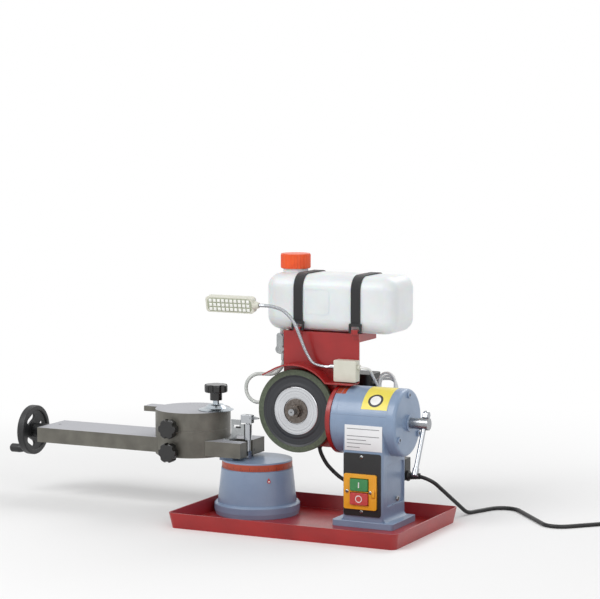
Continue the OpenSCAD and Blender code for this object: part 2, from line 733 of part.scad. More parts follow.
module straps() color([0.08, 0.08, 0.08]) for (x = [strap_x1, strap_x2]) {
    translate([x - strap_w / 2, 0, 0]) rotate([90, 0, 90]) linear_extrude(strap_w) difference() {
        strap_form(strap_t + 0.1);
        strap_form(0.1);
        translate([bottle_y - bottle_d, shelf_z - 50]) square([2 * bottle_d, 50 + 14]);
    }
    // Buckle ring at the strap's lower end
    translate([x, bottle_y - bottle_d / 2 - 0.1, shelf_z + 8]) rotate([90, 0, 0]) linear_extrude(3)
        difference() {
            translate([-10, -6]) round_rect(20, 14, 2);
            translate([-7, -3.5]) round_rect(14, 7, 1);
        }
}
module cap_seal() color("white") translate([neck_x, bottle_y, neck_top + 0.05])
    cylinder(r = neck_r - 1, h = seal_t, $fn = 64);
module tank_cap() color("orangered") translate([neck_x, bottle_y, neck_top + seal_t + 0.1 + cap_wall - cap_h]) difference() {
    union() {
        cylinder(r = tank_cap_r - 0.6, h = cap_h, $fn = 96);
        for (a = [0:12:348]) rotate([0, 0, a]) translate([tank_cap_r - 1.2, 0, 1])
            cylinder(r = 1.2, h = cap_h - 2.5, $fn = 16);
    }
    translate([0, 0, -cut]) cylinder(r = neck_r + 1, h = cap_h - cap_wall + cut, $fn = 64);
}
module tap_body() color("gray") difference() {
    union() {
        zcyl(tap_r, tap_z - 6, tap_z + tap_up, tap_x, tap_y);
        zcyl(3.6, tap_z - 16, tap_z - 5, tap_x, tap_y);
        ycyl(3, tap_y - 14, tap_y, tap_x, tap_z + 2);
    }
    zcyl(2.2, tap_z - 18, tap_z - 3, tap_x, tap_y);
}
module tap_lever() color("darkgray") difference() {
    translate([tap_x, tap_y - 11, tap_z + 2]) rotate([90, 0, 0]) linear_extrude(3) {
        circle(r = 6.5, $fn = 48);
        translate([-tap_lever_w / 2, 0]) square([tap_lever_w, tap_lever_l - tap_lever_w / 2]);
        translate([0, tap_lever_l - tap_lever_w / 2]) circle(r = tap_lever_w / 2, $fn = 48);
    }
    ycyl(3 + run_gap, tap_y - 16, tap_y, tap_x, tap_z + 2);
}
module water_hose() color("lightgray") tube(smooth(hose_pts, 2), hose_r, 8, [0, 1, 0]);

// ---- lamp ----
module lamp_box() color("beige") {
    translate([lamp_box_x0, bracket_y, lamp_box_z0]) rotate([90, 0, 0]) linear_extrude(lamp_box_d)
        round_rect(lamp_box_w, lamp_box_h, 2);
    xcyl(4, lamp_box_x0 + lamp_box_w, lamp_box_x0 + lamp_box_w + 4, bracket_y - 7, lead_exit_z);
}
module gooseneck() color("silver") {
    tube(smooth(goose_pts, 2), goose_r, 8, [0, 1, 0]);
    xcyl(3.6, goose_pts[0][0] - 4, goose_pts[0][0] + 3.9, goose_y, goose_z);
}
module lamp_head() color("whitesmoke") translate([lamp_x1, lamp_y, lamp_z]) rotate([lamp_tilt, 0, 0]) {
    translate([-lamp_l, lamp_t / 2, -lamp_h / 2]) rotate([90, 0, 0]) linear_extrude(lamp_t)
        round_rect(lamp_l - 6, lamp_h, 5);
    translate([-7, 0, 0]) rotate([0, 90, 0]) cylinder(r1 = 7, r2 = 4, h = 8, $fn = 32);
}
module lamp_lead() color("white") tube(smooth(lead_pts, 2), lead_r, 8, [1, 0, 0]);
module lead_hank() color("white") translate([hank_x - hank_w / 2, hank_y + hank_t / 2, hank_z - hank_h / 2])
    rotate([90, 0, 0]) linear_extrude(hank_t) difference() {
        round_rect(hank_w, hank_h, hank_w / 2 - 0.1);
        translate([hank_in, hank_in])
            round_rect(hank_w - 2 * hank_in, hank_h - 2 * hank_in, hank_w / 2 - hank_in - 0.1);
    }

// ---- spindle and wheel ----
module spindle() color("silver") difference() {
    union() {
        ycyl(spindle_r - 1, face_y - 16, wheel_back, wheel_x, wheel_z);
        ycyl(spindle_r, wheel_back, motor_y + 38, wheel_x, wheel_z);
        ycyl(18, wheel_back, wheel_back + 3, wheel_x, wheel_z);
    }
    ycyl(1, face_y - 18, face_y - 12, wheel_x, wheel_z);
}
module wheel_turned(profile) translate([wheel_x, face_y, wheel_z]) rotate([-90, 0, 0])
    rotate_extrude($fn = 128) polygon(profile);
module wheel_body() color([0.13, 0.13, 0.14]) wheel_turned([[hub_r, 0.4], [hub_r + 3, 0.4],
    [hub_r + 6, 1.2], [wheel_r - band_w - 3, 1.2], [wheel_r - band_w, 0], [wheel_r - band_w, wheel_t - 2],
    [hub_r + 4, wheel_t], [spindle_r - 1, wheel_t], [spindle_r - 1, 5], [hub_r, 5]]);
module grinding_band() color("darkolivegreen") wheel_turned([[wheel_r - band_w, 0], [wheel_r - 0.6, 0],
    [wheel_r, 0.6], [wheel_r, wheel_t - 3], [wheel_r - 1, wheel_t - 2], [wheel_r - band_w, wheel_t - 2]]);
module wheel_hub() color("silver") wheel_turned([[spindle_r - 1, 1.6], [19.5, 1.6], [20, 0], [hub_r - 1, 0],
    [hub_r, 0.8], [hub_r, 5], [spindle_r - 1, 5]]);
module spindle_nut() color("rosybrown") difference() {
    union() {
        ycyl(18.5, face_y - 0.4, face_y + 1.6, wheel_x, wheel_z);
        translate([wheel_x, face_y - 0.4, wheel_z]) rotate([90, 0, 0])
            cylinder(r = nut_flats / 2 / cos(30), h = 7.5, $fn = 6);
    }
    ycyl(spindle_r - 1, face_y - 20, face_y + 3, wheel_x, wheel_z);
}

// ---- turning table, arm and stop ----
module table_base() color("lightsteelblue") difference() {
    translate([table_x, table_y, 0]) rotate_extrude($fn = 128)
        polygon([[0, floor_z], [base_r - base_bevel, floor_z], [base_r, floor_z + base_bevel_h],
            [base_r, flange_z - 2], [base_r - 2, flange_z],
            [base_r - 5, flange_z], [table_r + 1, table_z - disc_h - slide_gap],
            [0, table_z - disc_h - slide_gap]]);
    zcyl(spigot_r + run_gap, floor_z + 8, table_z, table_x, table_y);
    translate([table_x, table_y, 0]) rotate_extrude($fn = 96)
        polygon([[spigot_r + 8, floor_z - cut], [base_r - 16, floor_z - cut], [base_r - 20, 56], [spigot_r + 8, 56]]);
    at_table_screws() translate([0, 0, floor_z - cut]) cylinder(r = foot_screw_r, h = foot_screw_l + cut, $fn = 32);
}
module table_disc() color("lightsteelblue") {
    zcyl(table_r, table_z - disc_h, table_z, table_x, table_y);
    zcyl(spigot_r, table_z - disc_h - spigot_l, table_z - disc_h, table_x, table_y);
    block(arm_x1 - fork_l - 10, arm_x1 - fork_l + 12, arm_y0 + 6, arm_y0 + arm_w - 6, table_z - 1, arm_z0);
}
module arm() color([0.36, 0.35, 0.33]) difference() {
    block(arm_x0, arm_x1, arm_y0, arm_y0 + arm_w, arm_z0, arm_z1);
    block(arm_x1 - fork_l, arm_x1 + cut, fork_y - fork_w / 2, fork_y + fork_w / 2, arm_z0 - cut, arm_z1 + cut);
    block(arm_x0 + end_wall, channel_x1, screw_y - channel_w / 2, screw_y + channel_w / 2,
        arm_z0 - cut, arm_z1 - channel_top);
    xcyl(screw_r + run_gap, arm_x0 - cut, arm_x0 + end_wall + cut, screw_y, screw_z);
    xcyl(screw_r - 1 + run_gap, channel_x1 - cut, channel_x1 + 9, screw_y, screw_z);
}
module stop_bracket() color("gainsboro") {
    foot_t2 = 2;
    block(bracket_foot_x, stop_x - 26, stop_y - 11, stop_y + 12, arm_z1, arm_z1 + foot_t2);
    difference() {
        block(stop_x - 28, stop_x - post_r + 1, stop_y - 1, stop_y + 1, arm_z1, arm_z1 + 31);
        block(stop_x - 24, stop_x - 14, stop_y - 3, stop_y + 3, arm_z1 + 19, arm_z1 + 23);
        block(stop_x - 20, stop_x, stop_y - 3, stop_y + 3, arm_z1 - cut, arm_z1 + 7);
        zcyl(post_r, arm_z0, post_top + 1, stop_x, stop_y);
        block(stop_x - post_r - 6.3, stop_x + 2, stop_y - 3, stop_y + 3, post_top - 1, arm_z1 + 33);
    }
}
module stop_post() color("gainsboro") {
    translate([stop_x, stop_y, table_z]) cylinder(r = 5.8, h = foot_nut_h, $fn = 6);
    zcyl(rod_r, table_z + foot_nut_h, arm_z1 + 1.5, stop_x, stop_y);
    zcyl(post_r, arm_z1 + 1.5, post_top, stop_x, stop_y);
    zcyl(rod_tip_r, post_top, block_z0 + block_h - 1, stop_x, stop_y);
}
module stop_block() color("gainsboro") difference() {
    translate([stop_x, stop_y, block_z0]) linear_extrude(block_h) polygon([[-block_l / 2, -block_w / 2],
        [block_l / 2, -block_w / 2], [block_l / 2, block_w / 2 - block_cut_y],
        [block_l / 2 - block_cut_x, block_w / 2], [-block_l / 2, block_w / 2]]);
    zcyl(rod_tip_r + run_gap, block_z0 - cut, block_z0 + block_h + cut, stop_x, stop_y);
    block(pawl_x - 3.1, stop_x + block_l, stop_y - pawl_w / 2 - 0.2, stop_y + pawl_w / 2 + 0.2,
        block_z0 + 3, block_z0 + block_h + cut);
    ycyl(1.2 + run_gap, stop_y - block_w, stop_y + block_w, pawl_x, pawl_z);
}
module stop_pawl() color([0.2, 0.2, 0.2]) {
    translate([pawl_x, stop_y + pawl_w / 2, pawl_z]) rotate([90, 0, 0]) linear_extrude(pawl_w)
        polygon([[-2.4, -1.5], [-1.5, -2.4], [3, -2.4], [pawl_l, -1], [pawl_l + 1, 0.6], [3, 2.6],
            [-1.5, 2.4], [-2.4, 1.5]]);
    ycyl(1.2, stop_y - block_w / 2, stop_y + pawl_w / 2 + pawl_pin_hold, pawl_x, pawl_z);
}

// ---- hand wheel and lead screw ----
module hand_wheel() color([0.07, 0.07, 0.07]) translate([hand_x0, screw_y, screw_z]) rotate([0, 90, 0]) {
    difference() {
        rotate_extrude($fn = 96) {
            translate([hand_r - 8, 2]) square([6, hand_t - 4]);
            translate([hand_r - 6, 0]) square([4, hand_t]);
            translate([hand_r - 6, 2]) square([6, hand_t - 4]);
            for (r = [hand_r - 6, hand_r - 2], z = [2, hand_t - 2]) translate([r, z]) circle(r = 2, $fn = 32);
            polygon([[0, 3], [12, 3], [hand_r - 7, 6], [hand_r - 7, 9.5], [12, 7], [0, 7]]);
            translate([screw_r - 1, 3]) square([11 - screw_r + 1, hand_t + hand_out - 3.5]);
        }
        for (a = [90:120:330]) rotate([0, 0, a]) hull() for (s = [-18, 18]) rotate([0, 0, s])
            translate([21.5, 0, -cut]) cylinder(r = 5, h = hand_t + 2 * cut, $fn = 32);
        translate([0, 0, -cut]) cylinder(r = screw_r - 1, h = hand_t + hand_out + 2 * cut, $fn = 48);
    }
    rotate([0, 0, crank_angle]) translate([crank_ring, 0, -crank_l - 1])
        cylinder(r = crank_pin_r, h = crank_l + 4, $fn = 48);
}
module crank_handle() color([0.07, 0.07, 0.07]) translate([hand_x0, screw_y, screw_z]) rotate([0, 90, 0])
    rotate([0, 0, crank_angle]) translate([crank_ring, 0, -crank_l - 0.4]) rotate_extrude($fn = 64)
        polygon([[crank_pin_r + run_gap, 0], [crank_r - 1.5, 0], [crank_r, 2], [crank_r, crank_l - 8],
            [crank_r - 1.6, crank_l], [crank_pin_r + run_gap, crank_l]]);
module lead_screw() color("silver") {
    xcyl(screw_r - 1, hand_x0 + 3, arm_x0 - screw_step, screw_y, screw_z);
    xcyl(screw_r, arm_x0 - screw_step, channel_x1 - 0.5, screw_y, screw_z);
    xcyl(screw_r - 1, channel_x1 - 0.5, channel_x1 + 8, screw_y, screw_z);
}
module screw_nut() color("peru") difference() {
    block(seat_x - 12, seat_x + 12, screw_y - channel_w / 2 + 1, screw_y + channel_w / 2 - 1,
        saddle_z0 + web_t, arm_z1 - channel_top - 1);
    xcyl(screw_r + run_gap, seat_x - 14, seat_x + 14, screw_y, screw_z);
}

// ---- saddle, seat and clamp ----
module saddle() color([0.36, 0.35, 0.33]) difference() {
    union() {
        zcyl(seat_r, saddle_z0, saddle_z1, seat_x, table_y);
        zcyl(post_seat_r, saddle_z1 - 1, saddle_z1 + post_seat_h, seat_x, table_y);
    }
    block(seat_x - seat_r - cut, seat_x + seat_r + cut, arm_y0 - slide_gap, arm_y0 + arm_w + slide_gap,
        arm_z0 - slide_gap, arm_z1 + slide_gap);
    ycyl(knob_stud_r + run_gap, arm_y0 - 60, arm_y0, knob_x, saddle_knob_z);
}
module seat() color([0.36, 0.35, 0.33]) difference() {
    union() {
        zcyl(seat_r, seat_z0, seat_z1, seat_x, table_y);
        block(seat_x - seat_r - lug_l, seat_x, table_y - lug_w / 2, table_y + lug_w / 2, seat_z1 - lug_t, seat_z1);
    }
    zcyl(post_seat_r + run_gap, seat_z0 - cut, seat_z0 + post_seat_h + 0.4, seat_x, table_y);
    ycyl(knob_stud_r + run_gap, table_y - seat_r - cut, table_y - 10, knob_x, seat_knob_z);
    zcyl(clamp_stud_r, seat_z1 - 14, seat_z1 + cut, clamp_x, table_y);
}
module lock_knob(z, stud_end) {
    translate([knob_x, knob_face - 0.5, z]) rotate([90, 0, 0]) star_knob(knob_r, knob_t, knob_hub_r, knob_hub_l, 0);
    ycyl(knob_stud_r, knob_face - knob_hub_l, stud_end, knob_x, z);
}
module saddle_knob() color([0.07, 0.07, 0.07]) lock_knob(saddle_knob_z, arm_y0 - 0.5);
module seat_knob() color([0.07, 0.07, 0.07]) lock_knob(seat_knob_z, table_y - post_seat_r - 0.3);
module clamp_stud() color("silver") zcyl(clamp_stud_r, seat_z1 - 14, clamp_top, clamp_x, table_y);
module clamp_cone() color("gainsboro") translate([clamp_x, table_y, seat_z1 + 0.05]) rotate_extrude($fn = 96)
    polygon([[clamp_stud_r + run_gap, 0], [cone_r - 1, 0], [cone_r, 0.8], [cone_r - 4, 2], [17, 3.2],
        [12, cone_h - 1], [10, cone_h], [5, cone_h], [4.6, cone_h + cone_neck],
        [clamp_stud_r + run_gap, cone_h + cone_neck]]);
module clamp_knob() color([0.07, 0.07, 0.07]) translate([clamp_x, table_y, seat_z1 + 0.1 + cone_h + cone_neck])
    star_knob(clamp_knob_r, 12, 9.3, 12, clamp_stud_r + run_gap);

tray();
column();
barrel_cap();
base_screws();
barrel_bushes();
switch_plate();
switch_frame();
start_button();
stop_button();
terminal_box();
cord_gland();
mains_cord();
mains_coil();
mains_plug();
table_base();
tilt_sleeve();
tilt_ring();
cable_lower();
cable_upper();
feed_shaft();
drop_lever();
lever_nuts();
motor_bracket();
wheel_guard();
tank_bracket();
motor_body();
bottle();
straps();
tap_body();
water_hose();
lamp_box();
lamp_lead();
lead_hank();
spindle();
wheel_body();
grinding_band();
wheel_hub();
spindle_nut();
cap_seal();
tank_cap();
tap_lever();
gooseneck();
lamp_head();
table_disc();
arm();
stop_bracket();
stop_post();
stop_block();
stop_pawl();
hand_wheel();
lead_screw();
crank_handle();
saddle();
screw_nut();
saddle_knob();
seat();
seat_knob();
clamp_stud();
clamp_cone();
clamp_knob();
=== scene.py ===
# %% [markdown]
# # Wet grinding sharpener for circular saw blades
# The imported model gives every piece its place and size, in metres, with the origin under the middle
# of the tray. This lesson dresses it: first the camera and the cords, because they decide what shows,
# then the finishes, then the small pieces that a machinist would miss.

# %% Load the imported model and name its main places
import math

import bmesh
import bpy
from mathutils import Matrix, Vector


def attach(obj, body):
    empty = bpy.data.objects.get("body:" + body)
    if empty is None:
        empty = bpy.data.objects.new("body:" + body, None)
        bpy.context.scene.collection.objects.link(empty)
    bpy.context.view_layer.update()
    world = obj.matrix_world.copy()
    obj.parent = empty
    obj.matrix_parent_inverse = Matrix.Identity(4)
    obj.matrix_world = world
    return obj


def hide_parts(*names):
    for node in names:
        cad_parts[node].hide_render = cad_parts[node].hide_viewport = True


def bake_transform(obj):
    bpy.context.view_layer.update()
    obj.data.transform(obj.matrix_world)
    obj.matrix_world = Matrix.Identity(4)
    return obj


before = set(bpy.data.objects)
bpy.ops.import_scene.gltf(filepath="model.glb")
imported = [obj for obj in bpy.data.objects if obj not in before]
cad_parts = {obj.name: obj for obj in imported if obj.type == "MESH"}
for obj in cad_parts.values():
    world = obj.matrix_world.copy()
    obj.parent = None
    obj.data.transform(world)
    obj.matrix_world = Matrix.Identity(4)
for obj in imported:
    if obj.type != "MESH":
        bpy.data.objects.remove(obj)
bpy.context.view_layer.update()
MM = 0.001
WHEEL = (-48.8, 40, 160.5)
BARREL_Y, BARREL_Z, BARREL_R = 51, 153.5, 50
TABLE_X, TABLE_Y = -113.8, 40


# %% [markdown]
# A long lens far away keeps the machine's upright edges nearly parallel, as in a catalogue picture.
# The camera looks down by less than six degrees, from the right of the column.

# %% Camera
camera_data = bpy.data.cameras.new("camera")
camera_data.sensor_width = 36.0
camera_data.lens = 132.0
camera = bpy.data.objects.new("camera", camera_data)
camera.location = (1.38594, -2.87591, 0.65498)
camera.rotation_euler = (math.radians(90 - 5.748), 0, math.radians(26.09))
bpy.context.scene.collection.objects.link(camera)
bpy.context.scene.camera = camera
bpy.context.scene.view_settings.view_transform = "Standard"

# %% [markdown]
# Three small tools come first. One turns a screen colour, written as hex, into the linear light that
# shaders calculate with. One adds a node, sets it and links it in one line, so that a finish reads
# from top to bottom like a recipe. The last starts a finish with an empty tree.


# %% Colours and nodes
def linear(hex_text):
    def channel(c):
        return c / 12.92 if c <= 0.04045 else ((c + 0.055) / 1.055) ** 2.4

    return tuple(channel(int(hex_text[i : i + 2], 16) / 255) for i in (1, 3, 5)) + (1.0,)


def add_node(tree, kind, inputs=None, **settings):
    node = tree.nodes.new(kind)
    for name, value in settings.items():
        setattr(node, name, value)
    for socket, value in (inputs or {}).items():
        if isinstance(value, bpy.types.NodeSocket):
            tree.links.new(value, node.inputs[socket])
        else:
            node.inputs[socket].default_value = value
    return node


def new_finish(name):
    made = bpy.data.materials.new(name)
    made.use_nodes = True
    made.node_tree.nodes.clear()
    return made, made.node_tree


# %% [markdown]
# Nearly every surface here is made the same way: a base colour that wanders a little, because paint
# and castings are never even, a roughness that wanders with it, and a fine grain that catches light.
# A Bevel node rounds the shading at sharp edges, and where it bends the normal most, an edge can be
# shown worn. All patterns are in Object coordinates, so sizes are real millimetres.


# %% One recipe for paint, castings, metals and plastics
def surface(name, base, second, patch_mm, rough, spread, grain_mm, grain_depth_mm,
            edge_mm=0.5, worn=None, stretch=(1, 1, 1), machined=None, **shader):
    made, tree = new_finish(name)
    place = add_node(tree, "ShaderNodeTexCoord")
    at = add_node(tree, "ShaderNodeMapping", {"Vector": place.outputs["Object"], "Scale": stretch})
    patch = add_node(tree, "ShaderNodeTexNoise",
                     {"Vector": place.outputs["Object"], "Scale": 1 / (patch_mm * MM), "Detail": 5.0})
    grain = add_node(tree, "ShaderNodeTexNoise",
                     {"Vector": at.outputs[0], "Scale": 1 / (grain_mm * MM), "Detail": 3.0})
    tone = add_node(tree, "ShaderNodeMapRange",
                    {"Value": patch.outputs[0], "From Min": 0.35, "From Max": 0.65})
    mixed = add_node(tree, "ShaderNodeMix", {0: tone.outputs[0], 6: linear(base), 7: linear(second)},
                     data_type="RGBA").outputs[2]
    round_edge = add_node(tree, "ShaderNodeBevel", {"Radius": edge_mm * MM}, samples=6)
    shape = add_node(tree, "ShaderNodeNewGeometry")
    if machined:
        # A face that was milled or turned flat on top is bare and paler than the cast sides
        up = add_node(tree, "ShaderNodeSeparateXYZ", {"Vector": shape.outputs["Normal"]})
        flat = add_node(tree, "ShaderNodeMapRange",
                        {"Value": up.outputs["Z"], "From Min": 0.7, "From Max": 0.95})
        mixed = add_node(tree, "ShaderNodeMix",
                         {0: flat.outputs[0], 6: mixed, 7: linear(machined)}, data_type="RGBA").outputs[2]
    if worn:
        dot = add_node(tree, "ShaderNodeVectorMath",
                       {0: round_edge.outputs[0], 1: shape.outputs["Normal"]}, operation="DOT_PRODUCT")
        rim = add_node(tree, "ShaderNodeMapRange",
                       {"Value": dot.outputs["Value"], "From Min": 0.97, "From Max": 0.8})
        broken = add_node(tree, "ShaderNodeMath", {0: rim.outputs[0], 1: tone.outputs[0]},
                          operation="MULTIPLY")
        mixed = add_node(tree, "ShaderNodeMix",
                         {0: broken.outputs[0], 6: mixed, 7: linear(worn)}, data_type="RGBA").outputs[2]
    dull = add_node(tree, "ShaderNodeMapRange",
                    {"Value": grain.outputs[0], "From Min": 0.3, "From Max": 0.7,
                     "To Min": rough - spread, "To Max": rough + spread})
    bump = add_node(tree, "ShaderNodeBump",
                    {"Height": grain.outputs[0], "Distance": grain_depth_mm * MM, "Strength": 1.0,
                     "Normal": round_edge.outputs[0]})
    body = add_node(tree, "ShaderNodeBsdfPrincipled",
                    {"Base Color": mixed, "Roughness": dull.outputs[0], "Normal": bump.outputs[0], **shader})
    add_node(tree, "ShaderNodeOutputMaterial", {"Surface": body.outputs[0]})
    return made


# %% [markdown]
# The finishes, each from what the real one is. Powder coat flows into a fine orange peel of about
# 2 mm. Enamel on a sand casting still shows the sand as soft lumps. Ground and turned metal is
# stretched noise, long in the direction in which the tool ran.

# %% Painted and cast finishes
# Powder coat on sheet: an orange peel of 2 mm under a thin gloss, paler where edges are rubbed
red_powder = surface("red_powder_coat_on_sheet", "#A31A1A", "#911415", 60, 0.34, 0.05, 2.2, 0.03,
                     0.8, "#C65A54", IOR=1.5, **{"Coat Weight": 0.25, "Coat Roughness": 0.15})
# Enamel brushed over a sand casting, so its skin is softly lumpy
blue_enamel = surface("blue_grey_enamel_on_casting", "#8599B4", "#7C91AD", 45, 0.36, 0.06, 3.5, 0.10,
                      1.2, "#A9B6CC", IOR=1.5, **{"Coat Weight": 0.3, "Coat Roughness": 0.2})
# Grey iron, dark with oil on its cast sides and bright where it was milled
oiled_iron = surface("oiled_cast_iron", "#716F67", "#605E57", 25, 0.42, 0.08, 1.2, 0.05,
                     0.7, "#9A9993", machined="#A9AAB0", Metallic=0.3)
# Black enamel on the motor, dull, with a little wear at its edges
motor_black = surface("black_enamel_on_motor", "#0D0D0E", "#131314", 40, 0.4, 0.08, 2.5, 0.08,
                      1.0, "#3A3A3C", IOR=1.5)

# %% [markdown]
# Bare metals have no colour of their own beyond a tint. What tells them apart is how rough they are
# and which way their scratches run.

# %% Bare metals
# Ground steel: fine scratches from left to right, along sleeve and shaft
ground_steel = surface("ground_steel", "#A3A5A8", "#909295", 30, 0.26, 0.06, 0.8, 0.01, 0.4,
                       stretch=(0.15, 1, 1), Metallic=1.0)
# Chrome over polished steel: smooth, with faint ripples in what it mirrors
chromed_steel = surface("chrome_plated_steel", "#B4B7BB", "#A8ABAF", 50, 0.16, 0.03, 3, 0.004, 0.5,
                        Metallic=1.0)
# Bright zinc plate: duller than chrome, and patchy from the bath
zinc_steel = surface("bright_zinc_plated_steel", "#AEB1B2", "#9C9FA0", 12, 0.30, 0.06, 1.5, 0.01, 0.4,
                     Metallic=1.0)
# Bearing bronze, as it left the lathe
turned_bronze = surface("turned_bronze", "#B08A52", "#A27D48", 15, 0.34, 0.05, 0.8, 0.01, 0.4,
                        Metallic=1.0)
# A nut browned by the water that runs off the wheel
brown_steel = surface("browned_steel_nut", "#77706B", "#5F5852", 4, 0.3, 0.1, 0.8, 0.02, 0.4, "#A58A78",
                      Metallic=0.8)

# %% [markdown]
# Plastics differ by their mould: a polished one leaves gloss, an etched one a matt grain. Soft and
# milky ones let light in. Inks and films are thin and flat.

# %% Plastics, rubber and print
# Moulded black plastic with a fine matt grain
black_abs = surface("black_moulded_abs", "#141517", "#1A1B1D", 20, 0.42, 0.05, 0.9, 0.02, 0.6, IOR=1.53)
# Phenolic, pressed in polished moulds, so it shines
black_bakelite = surface("black_phenolic_knob", "#0B0B0C", "#101011", 20, 0.22, 0.05, 4, 0.01, 0.8,
                         IOR=1.6)
# Soft black sheath of the mains lead and the motor cable
black_pvc = surface("black_pvc_sheath", "#0C0C0D", "#121213", 30, 0.45, 0.06, 1.5, 0.02, 0.4, IOR=1.53)
# Smooth yellow plastic of the switch frame
yellow_abs = surface("yellow_moulded_abs", "#F2AE27", "#EDA520", 20, 0.34, 0.05, 1.2, 0.02, 0.7,
                     IOR=1.53)
# Green plastic of the start button
green_abs = surface("green_moulded_abs", "#3E9155", "#38884E", 8, 0.34, 0.05, 1.2, 0.02, 0.7, IOR=1.53)
# Red plastic of the stop button
red_abs = surface("red_moulded_abs", "#CF4F4C", "#C64643", 8, 0.34, 0.05, 1.2, 0.02, 0.7, IOR=1.53)
# Polypropylene screw cap: waxy, with a little light inside it
orange_pp = surface("orange_polypropylene", "#EC5A20", "#E55018", 12, 0.36, 0.05, 1.2, 0.02, 0.7,
                    IOR=1.49, **{"Subsurface Weight": 0.15, "Subsurface Scale": 0.002})
# Cream plastic of the lamp, faintly grained
cream_abs = surface("cream_moulded_abs", "#D8D8CB", "#D2D2C4", 15, 0.42, 0.05, 0.9, 0.02, 0.8, IOR=1.53)
# Soft white sheath of the lamp's lead
white_pvc = surface("white_pvc_sheath", "#EEEEEC", "#E4E4E2", 20, 0.45, 0.05, 1.5, 0.02, 0.4, IOR=1.53)
# Diamond grains in an olive bond: coarse and dull, the part that cuts
diamond_grit = surface("diamond_grit_band", "#5C6653", "#4C5545", 3, 0.72, 0.08, 0.9, 0.15, 0.5,
                       IOR=1.55)
# Blown polyethylene: milky, so that light soaks in and softens its edges
milky_pe = surface("milky_polyethylene", "#E9E9EA", "#E2E2E4", 40, 0.36, 0.05, 3.0, 0.03, 1.5,
                   IOR=1.51, **{"Subsurface Weight": 0.35, "Subsurface Scale": 0.006})
# Clear hose, which lets a quarter of the light through
clear_pvc = surface("clear_pvc_hose", "#D8DBD7", "#CED2CE", 20, 0.25, 0.04, 2, 0.01, 0.4,
                    IOR=1.53, **{"Transmission Weight": 0.25})
# Anodised sheet, brushed across
aluminium_sheet = surface("anodised_aluminium_plate", "#E9EAEC", "#E2E3E5", 30, 0.38, 0.05, 0.6, 0.005,
                          0.3, stretch=(0.1, 1, 1), Metallic=0.3)
# Yellow label film, slightly glossy
yellow_vinyl = surface("yellow_vinyl_label", "#EFDF63", "#E9D856", 25, 0.36, 0.04, 2, 0.01, 0.3, IOR=1.5)
# Orange scale film, slightly glossy
orange_vinyl = surface("orange_vinyl_scale", "#B44C31", "#AA452B", 20, 0.38, 0.04, 2, 0.01, 0.3, IOR=1.5)
# Black ink, flat; the same flat black is also painted shade in screw recesses, holes and a slot
dark_print_and_painted_shade = surface("black_print_and_painted_shade", "#2A2A2C", "#303032", 10, 0.45, 0.04, 1, 0.005, 0.2, IOR=1.5)
# White ink, flat
white_print = surface("white_print", "#F0F0EE", "#E6E6E4", 10, 0.4, 0.04, 1, 0.005, 0.2, IOR=1.5)
# Grey ink, flat
grey_print = surface("grey_print", "#77797C", "#6F7174", 10, 0.45, 0.04, 1, 0.005, 0.2, IOR=1.5)
# Red paint in the index mark
red_print = surface("red_index_paint", "#B8322E", "#B02C28", 10, 0.4, 0.04, 1, 0.005, 0.2, IOR=1.5)
# Pale glossy lens over each LED
led_lens = surface("clear_led_lens", "#F7F8F4", "#EFF0EA", 3, 0.12, 0.03, 1, 0.005, 0.2, IOR=1.49)
print("finishes", len(bpy.data.materials))


# %% [markdown]
# Pieces are drawn in millimetres, as on a workshop drawing, and stored in metres. A piece is a bmesh
# until it is finished: doubles merged, normals turned outwards, edges sharper than 35 degrees kept
# sharp, its finish given, and last the body that it rides on.


# %% From a bmesh to a finished piece
SHARP_DEGREES = 35


def mm(point):
    return Vector(point) * MM


def in_scene(name, data):
    made = bpy.data.objects.new(name, data)
    bpy.context.scene.collection.objects.link(made)
    return made


def piece(name, shape, body, finishes, angle=SHARP_DEGREES):
    bmesh.ops.remove_doubles(shape, verts=shape.verts, dist=1e-6)
    bmesh.ops.recalc_face_normals(shape, faces=shape.faces)
    mesh = bpy.data.meshes.new(name)
    shape.to_mesh(mesh)
    shape.free()
    mesh.shade_smooth()
    mesh.set_sharp_from_angle(angle=math.radians(angle))
    for finish in finishes:
        mesh.materials.append(finish)
    made = in_scene(name, mesh)
    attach(made, body)
    return made


# %% [markdown]
# Four shapes cover most hardware. A lathe turns a profile about an axis. A tube follows a path, with
# its ring carried along from point to point so that it never twists. A plate is a flat outline with
# a thickness, and it takes a material number, so that one piece can carry two finishes. A soft box
# is a block with its edges rounded.


# %% Lathe, tube, plate and soft box
def lathe(shape, profile, centre, axis, steps=64):
    turn = Vector((0, 0, 1)).rotation_difference(Vector(axis)).to_matrix()
    rings = []
    for k in range(steps):
        a = 2 * math.pi * k / steps
        rings.append([shape.verts.new(mm(centre) + turn @ mm((r * math.cos(a), r * math.sin(a), h)))
                      for r, h in profile])
    for k in range(steps):
        one, two = rings[k], rings[(k + 1) % steps]
        for i in range(len(profile) - 1):
            shape.faces.new((one[i], two[i], two[i + 1], one[i + 1]))


def tube(shape, path, radius, sides=12):
    points = [mm(p) for p in path]
    side = None
    rings = []
    for k, point in enumerate(points):
        ahead = (points[min(k + 1, len(points) - 1)] - points[max(k - 1, 0)]).normalized()
        if side is None:
            side = ahead.orthogonal()
        side = (side - ahead * side.dot(ahead)).normalized()
        up = ahead.cross(side)
        rings.append([shape.verts.new(point + (side * math.cos(a) + up * math.sin(a)) * (radius * MM))
                      for a in (2 * math.pi * i / sides for i in range(sides))])
    for one, two in zip(rings, rings[1:]):
        for i in range(sides):
            j = (i + 1) % sides
            shape.faces.new((one[i], one[j], two[j], two[i]))
    shape.faces.new(rings[0])
    shape.faces.new(rings[-1])


